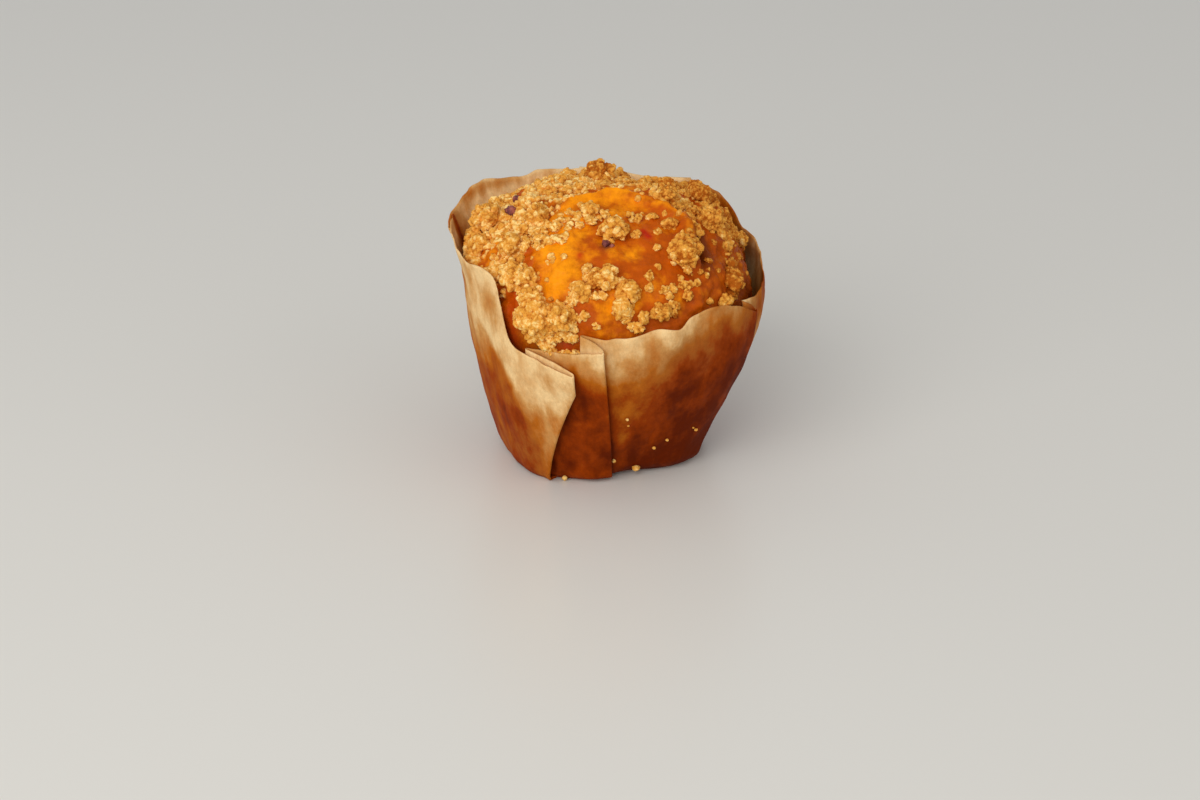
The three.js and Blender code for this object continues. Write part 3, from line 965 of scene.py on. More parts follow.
    def panel(self, before: Pleat, pleat: Pleat, turn: float, shares: Array) -> tuple[Array, ...]:
        """A panel of the sheet, by row and column.

        Args:
            before: the pleat that it comes out of.
            pleat: the pleat that it ends in.
            turn: taken off bearings given past a whole turn.
            shares: how far up the sheet each row is.

        Returns:
            Its bearings, distances out from the wall, heights and how far butter soaked in, with painted
            shade along the hidden fold.
        """
        rim_bearing, rim_z = self.rim_line(before, pleat, turn)
        z = lerp(self.foot_z, rim_z[None, :], shares[:, None])
        along = (rim_bearing - rim_bearing[0]) / (rim_bearing[-1] - rim_bearing[0])
        start = self.panel_start(before, z) - turn
        bearing = lerp(start, self.panel_end(pleat, z), along[None, :])
        radius = self.wall.radius(bearing, z)
        from_edge = np.radians(pleat.edge(z) - bearing) * radius
        climbed = smooth((pleat.depth_at(z) + pleat.climb - from_edge) / pleat.climb)
        out = 2 * self.layer * climbed + pleat.belly(z, from_edge)
        hidden = np.radians(bearing - before.edge(z) + turn) * radius
        # Painted shade in the valley beside the hidden fold.
        valley = self.valley_shade * hill(np.maximum(0.0, hidden), self.valley_width)
        soak_and_shade = pleat.soaked(bearing, z)
        if pleat is FRONT_FLAP:
            soak_and_shade = lerp(soak_and_shade, profile(FLAP_SOAK, z), self.doubled(bearing, z))
            valley = 0.0
        return bearing, out, z, soak_and_shade + valley * smooth((rim_z[None, :] - z) / self.valley_fade)

    def turn_under(self, pleat: Pleat, shares: Array) -> tuple[Array, ...]:
        """The sheet round a pleat's outer edge, back under it and round the hidden fold.

        Args:
            pleat: the pleat.
            shares: how far up the sheet each row is.

        Returns:
            The same values as a panel, by row and column.
        """
        bends = np.radians([45.0, 0.0, -45.0, -90.0])
        arcs = [lambda depth, a=a: self.fold * (1 - math.cos(a)) for a in bends]
        layers = [1.5 + 0.5 * math.sin(a) for a in bends]
        arcs += [lambda depth: depth * 0.35, lambda depth: depth * 0.65]
        layers += [1.0, 1.0]
        arcs += [lambda depth, a=a: depth - self.fold + self.fold * math.cos(a) for a in -bends[::-1][:3]]
        layers += [0.5 + 0.5 * math.sin(a) for a in -bends[::-1][:3]]
        columns = []
        for arc, layer in zip(arcs, layers):
            rim_share = math.sqrt(max(0.0, arc(pleat.depth[1])) / pleat.depth[1])
            z = lerp(self.foot_z, lerp(pleat.rim_z, pleat.inner_rim_z, rim_share), shares)
            back = arc(pleat.depth_at(z))
            edge = pleat.edge(z)
            bearing = edge - self.arc_turn(back, edge, z)
            soak_and_shade = profile(FLAP_SOAK, z) if pleat is FRONT_FLAP else pleat.soaked(bearing, z)
            columns.append((bearing, layer * self.layer + pleat.belly(z, back), z, soak_and_shade))
        return tuple(np.stack(values, axis=1) for values in zip(*columns))

    def sheet(self) -> tuple[Array, ...]:
        """The whole sheet's bearings, distances out, heights and soaking, by row and column."""
        shares = np.linspace(0.0, 1.0, self.rows) ** self.row_crowding
        parts = []
        for index, pleat in enumerate(self.pleats):
            turn = 360.0 if index == 0 else 0.0
            parts.append(self.panel(self.pleats[index - 1], pleat, turn, shares))
            parts.append(self.turn_under(pleat, shares))
        return tuple(np.concatenate(values, axis=1) for values in zip(*parts))

    def ripple(self, bearing: Array, z: Array) -> Array:
        """How far creases and buckles push the paper out, least where the cake fills it.

        Args:
            bearing: in degrees.
            z: the height in mm.

        Returns:
            The distance out in mm.
        """
        spot = place(bearing, self.wall.mouth, z * self.ripple_stretch)
        free = fade(z, *self.free_from)
        buckles = self.buckle * free * noise_at(spot, self.buckle_size, 3.0)
        ridges = np.maximum(0.0, 1.0 - np.abs(noise_at(spot, self.crease_size, 9.0, 2)) * 3.0)
        creases = self.crease * ridges * (0.4 + 0.6 * free)
        pressed = self.crinkle * (0.6 + noise_at(spot, self.crinkle_size, 5.0))
        return buckles + creases + pressed + total(self.folds, bearing, z)

    def inner_layer(self, bearing: Array, z: Array) -> Array:
        """The radius of the innermost layer's middle, with its ripples."""
        return self.wall.radius(bearing, z) + self.ripple(bearing, z) * smooth(z / self.foot_pressed)

    def middle(self) -> tuple[Array, ...]:
        """The sheet's middle points, with the bearing, the height and the soaking of each."""
        bearing, out, z, soak_and_shade = self.sheet()
        fray = self.rim_fray * noise_at(place(bearing[-1], self.wall.mouth, 0.0), self.fray_size, 2.0)
        z = z + fray[None, :] * (z / z[-1][None, :]) ** 8
        return place(bearing, self.inner_layer(bearing, z) + out, z), bearing, z, soak_and_shade

    def rim_height(self, bearing: Array) -> Array:
        """How high the rim stands at bearings.

        Args:
            bearing: in degrees.

        Returns:
            The height in mm.
        """
        around, _, z, _ = self.sheet()
        turned = turn_from(around[-1], 0.0)
        order = np.argsort(turned)
        return np.interp(bearing, turned[order], z[-1][order], period=360.0)

    def keep_inside(self, piece: Object) -> None:
        """Moves what would poke through the paper, of the cake or crumbs, back inside it.

        Args:
            piece: the cake or the crumbs.
        """
        points = np.empty(len(piece.data.vertices) * 3, np.float32)
        piece.data.vertices.foreach_get("co", points)
        points = points.reshape(-1, 3).astype(float) / MM
        bearing, out = bearing_of(points), np.hypot(points[:, 0], points[:, 1])
        low = points[:, 2] < self.rim_height(bearing) + self.near_rim
        near = np.flatnonzero(low & (out > self.wall.radius(bearing, points[:, 2]) - self.near_paper))
        around, z = bearing[near], points[near, 2]
        room = self.inner_layer(around, z) - self.gap
        points[near, :2] *= np.minimum(1.0, room / out[near])[:, None]
        piece.data.vertices.foreach_set("co", (points * MM).astype(np.float32).ravel())
        piece.data.update()

    def faced(self, middle: Array, side: float) -> Array:
        """The sheet moved to one face of the paper: side is 1 outside and -1 inside.

        Args:
            middle: the sheet's middle points, by row and column.
            side: 1 for the outer face and -1 for the inner.

        Returns:
            The moved points.
        """
        flat = middle[..., :2]
        arriving = flat - np.roll(flat, 1, axis=1)
        leaving = np.roll(flat, -1, axis=1) - flat
        arriving /= np.linalg.norm(arriving, axis=-1, keepdims=True)
        leaving /= np.linalg.norm(leaving, axis=-1, keepdims=True)
        normal = np.stack([arriving[..., 1] + leaving[..., 1], -arriving[..., 0] - leaving[..., 0]], axis=-1)
        normal /= np.maximum(np.linalg.norm(normal, axis=-1, keepdims=True), 1e-6)
        across = np.abs(normal[..., 0] * arriving[..., 1] - normal[..., 1] * arriving[..., 0])
        shift = side * self.thickness / 2 / np.maximum(self.sharpest_mitre, across)
        moved = middle.copy()
        moved[..., :2] += normal * shift[..., None]
        return moved

    def doubled(self, bearing: Array, z: Array) -> Array:
        """Where the front flap lies double, so that little butter has come through, from 0 to 1.

        Args:
            bearing: in degrees.
            z: the height in mm.

        Returns:
            The share.
        """
        spot = place(bearing, self.wall.mouth, z)
        line = self.doubled_from - self.doubled_lean * (z / self.doubled_top) ** self.doubled_bend
        line = line + self.doubled_wander * noise_at(spot, self.doubled_wander_size, 7.0, 2)
        right_of_it = fade(turn_from(bearing, line), *self.doubled_edge)
        return right_of_it * (turn_from(bearing, 0.0) > self.doubled_left)

    def soak_and_shade(self, bearing: Array, z: Array, panels: Array) -> Array:
        """How far butter has soaked into the paper, from 0 for dry to 1 for dark brown; some of the patches
        added here are painted shade.

        Args:
            bearing: in degrees.
            z: the height in mm.
            panels: how far it soaked into the panels as a whole.

        Returns:
            The share.
        """
        spot = place(bearing, self.wall.mouth, z)
        cloudy = self.cloudy * noise_at(spot, self.cloudy_size, 1.0, 2) * fade(z, *self.cloudy_below)
        return np.clip(panels + cloudy + total(self.stains_and_shade, bearing, z), 0.0, 1.0)

    def base(self, outline: Array) -> tuple[Array, list[tuple[int, ...]]]:
        """The flat base under the cake, out to the wall's foot.

        Args:
            outline: the foot's outer points, in order round the case.

        Returns:
            Its points and faces.
        """
        edge = outline.copy()
        edge[:, 2] = 0.0
        lifted = edge + (0.0, 0.0, self.base_thickness)
        middle = np.array([[0.0, 0.0, 0.0], [0.0, 0.0, self.base_thickness]])
        count = len(edge)
        faces: list[tuple[int, ...]] = list(ring_faces(2, count, False))
        faces += cap_faces(0, count, 2 * count, True)
        faces += cap_faces(count, count, 2 * count + 1, False)
        return np.concatenate([edge, lifted, middle]), faces

    def foot_outline(self) -> Array:
        """The outermost points of the foot, in order round the case."""
        bearing, out, z, _ = self.sheet()
        points = place(bearing[0], self.wall.radius(bearing[0], z[0]) + out[0], z[0])
        kept, last = [], bearing[0][0] - 1.0
        for around, point in zip(bearing[0], points):
            if around > last + 0.3:
                kept.append(point)
                last = around
        return np.array(kept)

    def build(self, finish: Material) -> Object:
        """Makes the case as one object.

        Args:
            finish: its material.

        Returns:
            The object.
        """
        middle, bearing, z, panels = self.middle()
        outside, inside = self.faced(middle, 1.0), self.faced(middle, -1.0)
        points = np.concatenate([outside, inside[::-1]])
        count = points.shape[1]
        soak_and_shade = self.soak_and_shade(bearing, z, panels)
        faces: list[tuple[int, ...]] = list(ring_faces(len(points), count, True))
        base_points, base_faces = self.base(self.foot_outline())
        start = points.shape[0] * count
        faces += [tuple(start + i for i in face) for face in base_faces]
        flat = np.concatenate([points.reshape(-1, 3), base_points])
        below = np.full(len(base_points), self.base_soak)
        # The browned_and_shaded mark: mostly painted shade on the paper's right side.
        browned_and_shaded = np.clip(total(self.browned_and_shaded, bearing, z), 0.0, 1.0)
        marks = {
            "soak_and_shade": np.concatenate([soak_and_shade.ravel(), soak_and_shade[::-1].ravel(), below]),
            "browned_and_shaded": np.concatenate([browned_and_shaded.ravel(), browned_and_shaded[::-1].ravel(), below * 0.0]),
        }
        case = new_object("parchment_case", flat, faces, marks)
        case.data.materials.append(finish)
        return case


@dataclass(frozen=True)
class Swell:
    """A swelling of the crust, by plan position, reach along and across, turn and height."""

    x: float
    y: float
    along: float
    across: float
    turn: float
    height: float

    def at(self, x: Array, y: Array) -> Array:
        """The height that it adds at plan positions.

        Args:
            x: across, in mm.
            y: back, in mm.

        Returns:
            The height in mm.
        """
        cos, sin = math.cos(math.radians(self.turn)), math.sin(math.radians(self.turn))
        u = ((x - self.x) * cos + (y - self.y) * sin) / self.along
        v = ((y - self.y) * cos - (x - self.x) * sin) / self.across
        return self.height * np.exp(-(u * u + v * v))


@dataclass(frozen=True)
class Spot:
    """A spot on the crust, by plan position, reach and strength."""

    x: float
    y: float
    reach: float
    strength: float = 1.0

    def at(self, points: Array) -> Array:
        """How strongly the spot shows at points, from 0 to 1."""
        away = np.hypot(points[..., 0] - self.x, points[..., 1] - self.y)
        return self.strength * hill(away, self.reach)


@dataclass
class Cake:
    """The cake: it fills the case to its shoulder and domes above it in a glazed, burst crust."""

    wall: Wall
    clearance: float = 0.675
    floor_z: float = 0.95
    shoulder: float = 44.5
    lower_at_front: float = 3.0
    lower_at_right: float = 4.5
    apex_z: float = 67.4
    fullness: float = 2.5
    crumble_from: tuple[float, float] = (0.02, 0.05)
    relief_rise: float = 12.0
    swell_fade: float = 1.6
    side_reach: float = 50.0
    wall_rows: int = 24
    dome_rows: int = 150
    columns: int = 520
    crag: float = 1.0
    crag_size: float = 9.0
    finer_crag_size: float = 4.0
    calm: float = 0.45
    calm_inside: tuple[float, float] = (0.0, -3.0)
    mat: float = 0.7
    mat_knob: float = 1.7
    finer_mat: float = 0.35
    finer_mat_knob: float = 0.8
    mat_from: tuple[float, float] = (0.35, 0.3)
    mat_fray: float = 0.35
    mat_fray_size: float = 3.0
    pimple: float = 0.13
    pimple_size: float = 1.1
    burst_x: float = 2.0
    burst_y: float = -20.0
    burst_radius: float = 20.5
    burst_wander: float = 1.2
    burst_wander_size: float = 8.0
    burst_from: tuple[float, float] = (-48.0, 16.0)
    burst_to: tuple[float, float] = (104.0, -22.0)
    ledge: float = 2.6
    ledge_in: float = 1.6
    ledge_width: float = 2.2
    ledge_drop: float = 0.35
    lip_width: float = 1.6
    crack: float = 1.3
    crack_out: float = 0.9
    crack_width: float = 0.7
    shrunk: tuple[tuple[float, float, float], ...] = (
        (70.0, 13.0, 2.0), (94.0, 14.0, 2.2), (120.0, 16.0, 1.4),
    )
    shrunk_above: tuple[float, float] = (34.0, 6.0)
    shrunk_below: tuple[float, float] = (65.0, -9.0)
    sunk: tuple[Spot, ...] = each(
        Spot, (-8.0, 18.0, 10.0), (12.0, 17.0, 10.0), (12.0, 17.0, 7.0), (4.0, 30.0, 6.0, 1.2),
        (33.0, 5.0, 9.0, 1.1), (-30.0, 1.0, 8.0, 1.6), (-1.9, 20.5, 4.0, -1.0),
    )
    sunk_by: float = 1.3
    sunk_above: tuple[float, float] = (50.0, 8.0)
    swells: tuple[Swell, ...] = each(
        Swell, (1, -6, 17, 12, 10, 1.6), (9, 6, 10, 5, -28, 1.5), (21, 14, 9, 7, 0, 2.2),
        (-30, 4, 8, 12, 0, 1.0), (24, -12, 11, 9, 70, 0.8), (4, 16, 10, 4, 0, -1.2),
        (-13, 19, 11, 6, 25, 1.4),
    )
    # lit_gold is painted light over the burst's middle, and lip_highlight is a painted highlight along its
    # lip, both as more gold.
    lit_gold: float = 0.05
    spot_gold: float = 0.8
    cloud_gold: float = 0.5
    cloud_size: float = 4.5
    lip_highlight: float = 0.45
    baked_all: float = 0.16
    baked_right: float = 0.34
    right_from: tuple[float, float] = (8.0, 30.0)
    side_below: tuple[float, float] = (0.75, -0.4)
    baked_low: float = 0.12
    low_below: tuple[float, float] = (0.45, -0.3)
    baked_rim: float = 0.3
    rim_below: tuple[float, float] = (0.12, -0.12)
    # A painted shadow: a brown band just outside the burst's lip, where the crust steps down behind it.
    ledge_shadow: float = 0.8
    ledge_shadow_out: float = 1.6
    ledge_shadow_width: float = 1.7
    redness: float = 0.75
    berry_stains: tuple[Spot, ...] = each(
        Spot, (-23.4, 0.0, 1.8), (-0.1, -21.8, 1.4),
    )
    golden_spots: tuple[Spot, ...] = each(
        Spot, (-12.7, -29.1, 4.5), (-29.0, -15.8, 4.5, 0.8), (-6.1, -1.4, 7.0, 0.7), (2.4, -7.2, 6.0, 0.5),
        (-13.6, -20.7, 5.0, 0.8), (-9.4, -23.9, 4.0, 0.4), (-3.0, -23.0, 6.0, 0.45), (5.0, -23.0, 6.0, 0.3),
        (5.6, -33.9, 2.5, 0.6), (0.6, -35.3, 2.5, 0.5), (16.4, -31.2, 3.0, 0.5), (-13.0, -12.0, 7.0, 0.8),
        (-28.0, -4.0, 5.0, 0.5),
    )
    red_stains: tuple[Spot, ...] = each(
        Spot, (9.1, -16.2, 1.5, 1.3), (10.2, -18.0, 1.1, 1.2), (-6.7, -24.3, 1.1), (19.6, -27.0, 1.3),
        (-9.6, -34.8, 1.5, 0.5), (-23.2, -27.1, 2.2, 0.45),
    )

    def shoulder_z(self, bearing: Number) -> Number:
        """The height at which the dome starts."""
        angle = np.radians(bearing)
        return self.shoulder - self.lower_at_front * np.cos(angle) - self.lower_at_right * np.sin(angle)

    def side_radius(self, bearing: Number, z: Number) -> Number:
        """The cake's radius below the shoulder."""
        return self.wall.radius(bearing, z) - self.clearance

    def crust(self, bearing: Number, up: Number) -> Array:
        """Points of the bare crust: up runs from 0 at the shoulder to 1 at the top.

        Args:
            bearing: in degrees.
            up: from 0 at the shoulder to 1 at the top.

        Returns:
            The points in mm.
        """
        low = self.shoulder_z(bearing)
        cos, sin = np.cos(np.pi / 2 * np.asarray(up, float)), np.sin(np.pi / 2 * np.asarray(up, float))
        size = (np.maximum(cos, 0.0) ** self.fullness + sin**self.fullness) ** (1 / self.fullness)
        radius = self.side_radius(bearing, low) * cos / size
        point = place(bearing, radius, lerp(low, self.apex_z, sin / size))
        swollen = total(self.swells, point[..., 0], point[..., 1])
        point[..., 2] += swollen * smooth(self.swell_fade * sin / size)
        return point

    def skin(self, bearing: float, up: float) -> Array:
        """A point of the crust, or below the shoulder of the side, for an up under 0.

        Args:
            bearing: in degrees.
            up: as for the crust, or under 0.

        Returns:
            The point in mm.
        """
        if up >= 0:
            return self.crust(bearing, up)
        z = float(self.shoulder_z(bearing)) + up * self.side_reach
        return place(bearing, self.side_radius(bearing, z), z)

    def normal(self, bearing: Number, up: Number) -> Array:
        """The crust's outward direction, from points a little way to each side.

        Args:
            bearing: in degrees.
            up: from 0 at the shoulder to 1 at the top.

        Returns:
            Directions of length 1.
        """
        reach = 0.02
        middle = np.clip(up, reach, 1 - reach)
        around = self.crust(bearing + 1, middle) - self.crust(bearing - 1, middle)
        rise = self.crust(bearing, middle + reach) - self.crust(bearing, middle - reach)
        cross = np.cross(around, rise)
        return cross / np.linalg.norm(cross, axis=-1, keepdims=True)

    def settled(self, points: Array) -> Array:
        """Points moved in from the paper at the right, and down at the back, where the cake sank.

        Args:
            points: in mm.

        Returns:
            The moved points.
        """
        bearing = bearing_of(points)
        z = points[..., 2]
        pull = sum(depth * bell(bearing, centre, spread) for centre, spread, depth in self.shrunk)
        pull = pull * fade(z, *self.shrunk_below) * fade(z, *self.shrunk_above)
        moved = points.copy()
        moved[..., :2] *= (1.0 - pull / np.maximum(np.hypot(points[..., 0], points[..., 1]), 1.0))[..., None]
        moved[..., 2] -= self.sunk_by * total(self.sunk, points) * fade(z, *self.sunk_above)
        return moved

    def burst_edge(self, points: Array) -> tuple[Array, Array]:
        """How far points are outside the burst's edge in mm, and how clear that edge is there.

        Args:
            points: points of the crust, in mm.

        Returns:
            The distance, and from 0 to 1 how clear the edge is.
        """
        x, y = points[..., 0] - self.burst_x, points[..., 1] - self.burst_y
        wander = self.burst_wander * noise_at(points * (1, 1, 0), self.burst_wander_size, 4.0)
        turn = np.degrees(np.arctan2(x, y))
        clear = fade(turn, *self.burst_from) * fade(turn, *self.burst_to)
        return np.hypot(x, y) - self.burst_radius + wander, clear

    def relief(self, points: Array, thick: Array) -> tuple[Array, Array]:
        """How far the baked surface stands off the bare crust, in mm, and how crumbly it is.

        Args:
            points: points of the bare crust.
            thick: how thickly fine crumble lies on each.

        Returns:
            The distance out and the share of crumble that shows, from 0 to 1.
        """
        outside, clear = self.burst_edge(points)
        inner = hill(outside + self.ledge_in, self.ledge_width)
        brink = hill(self.ledge_in, self.ledge_width)
        lip = self.ledge * np.where(outside < 0, inner, brink * hill(outside, self.ledge_drop))
        split = self.crack * hill(outside - self.crack_out, self.crack_width)
        calm = 1.0 - self.calm * fade(outside, *self.calm_inside)
        crags = noise_at(points, self.crag_size, 15.0) + calm * noise_at(points, self.finer_crag_size, 6.0, 3)
        pimples = self.pimple * calm * noise_at(points, self.pimple_size, 8.0, 2)
        height, _ = knobs_at(points, self.mat_knob, 2.0)
        finer, _ = knobs_at(points, self.finer_mat_knob, 4.0)
        crumbly = fade(thick + self.mat_fray * noise_at(points, self.mat_fray_size, 12.0), *self.mat_from)
        mat = crumbly * self.mat * (height + self.finer_mat * finer)
        stand = clear * (lip - split) + self.crag * crags + pimples + mat
        # The crumb mat's share is least between its knobs: painted shade in the hollows, which the crust's
        # material turns darker.
        return stand, crumbly * (0.35 + 0.65 * height)

    def rings(self, crumble: "Crumble") -> tuple[Array, ...]:
        """The rings of the cake's surface from the floor up.

        Args:
            crumble: what lies on it.

        Returns:
            The points by ring, how far up the dome each is, how thickly crumble lies on it and how
            much of the crumble shows in the surface itself.
        """
        bearings = np.arange(self.columns) * 360.0 / self.columns
        low = self.shoulder_z(bearings)
        share = np.arange(self.wall_rows)[:, None] / self.wall_rows
        side_z = lerp(self.floor_z, low[None, :], share)
        side = place(bearings[None, :], self.side_radius(bearings[None, :], side_z), side_z)
        up = np.repeat(np.arange(self.dome_rows)[:, None] / self.dome_rows, self.columns, axis=1)
        around = np.broadcast_to(bearings[None, :], up.shape)
        dome = self.crust(around, up)
        thick = crumble.thick(dome) * fade(up, *self.crumble_from)
        stand, crumbly = self.relief(dome, thick)
        dome = dome + self.normal(around, up) * (stand * smooth(up * self.relief_rise))[..., None]
        below = np.zeros(side.shape[:2])
        return (
            self.settled(np.concatenate([side, dome])),
            np.concatenate([below, up]),
            np.concatenate([below, thick]),
            np.concatenate([below, crumbly]),
        )

    def marks(self, points: Array, up: Array, thick: Array, crumbly: Array) -> dict[str, Array]:
        """The values that the crust's material and the granules read.

        Args:
            points: the cake's points in mm.
            up: how far up the dome each is.
            thick: how thickly crumble lies on each.
            crumbly: how much of the crumble shows in the surface itself.

        Returns:
            The values by name.
        """
        outside, clear = self.burst_edge(points)
        # Painted light: the burst's middle and a band along its lip are made more golden.
        lit = smooth(-outside / 6.0 + 0.3)
        lip = clear * hill(outside + self.ledge_in, self.lip_width)
        golden = self.lit_gold * lit + self.spot_gold * total(self.golden_spots, points)
        golden = golden + self.cloud_gold * noise_at(points, self.cloud_size, 31.0, 2) + self.lip_highlight * lip
        right = self.baked_right * fade(points[..., 0], *self.right_from)
        baked_and_shaded = self.baked_all + right * (0.4 + 0.6 * fade(up, *self.side_below))
        baked_and_shaded = baked_and_shaded + self.baked_low * fade(up, *self.low_below)
        # Painted shadow behind the burst's lip, added to the real browning.
        ledge_shadow = self.ledge_shadow * clear * hill(outside - self.ledge_shadow_out, self.ledge_shadow_width)
        baked_and_shaded += self.baked_rim * fade(up, *self.rim_below) + ledge_shadow
        shown = {
            "golden": golden,
            "baked_and_shaded": baked_and_shaded,
            "stained": total(self.berry_stains, points),
            "reddened": self.redness * total(self.red_stains, points),
            "crumbly": crumbly,
        }
        return {name: np.clip(values, 0.0, 1.0) for name, values in shown.items()} | {"cover": thick}

    def build(self, finish: Material, crumble: "Crumble") -> Object:
        """Makes the cake as one object, marked with how thickly the crumble lies on it.

        Args:
            finish: its material.
            crumble: what lies on it.

        Returns:
            The object.
        """
        rings, up, thick, crumbly = self.rings(crumble)
        count = self.columns
        points = np.concatenate([rings.reshape(-1, 3), [[0.0, 0.0, self.floor_z]], [rings[-1].mean(axis=0)]])
        ups, thicks = np.concatenate([up.ravel(), [0.0, 1.0]]), np.concatenate([thick.ravel(), [0.0, 0.0]])
        crumblies = np.concatenate([crumbly.ravel(), [0.0, 0.0]])
        faces: list[tuple[int, ...]] = list(ring_faces(len(rings), count, False))
        after = len(rings) * count
        faces += cap_faces(0, count, after, True)
        faces += cap_faces(after - count, count, after + 1, False)
        cake = new_object("cake", points, faces, self.marks(points, ups, thicks, crumblies))
        cake.data.materials.append(finish)
        return cake


@dataclass(frozen=True)
class Lump:
    """A lump on the crust, by bearing, place between shoulder and top, and radius."""

    bearing: float
    up: float
    size: float


@dataclass(frozen=True)
class Scatter:
    """A handful of small crumbs, by bearing, place up the dome, reach in mm, count and largest radius."""

    bearing: float
    up: float
    reach: float
    count: int
    largest: float = 1.1


@dataclass(frozen=True)
class CrustPatch:
    """A place on the crust with few crumbs or many, and its reach in mm."""

    bearing: float
    up: float
    reach: float

    def at(self, cake: Cake, points: Array) -> Array:
        """How strongly the patch shows at points, from 0 to 1."""
        away = np.linalg.norm(points - cake.crust(self.bearing, self.up), axis=-1)
        return hill(away, self.reach)


@dataclass(frozen=True)
class Ball:
    """A crumb as a ball, by radius, centre, flatness and the direction in which it is flat."""

    size: float
    centre: Array
    flat: float
    normal: Array


@dataclass(frozen=True)
class CrumbMake:
    """How crumbs are shaped: how far apart their knobs are in mm and how finely they are divided."""

    knob: float
    fineness: int


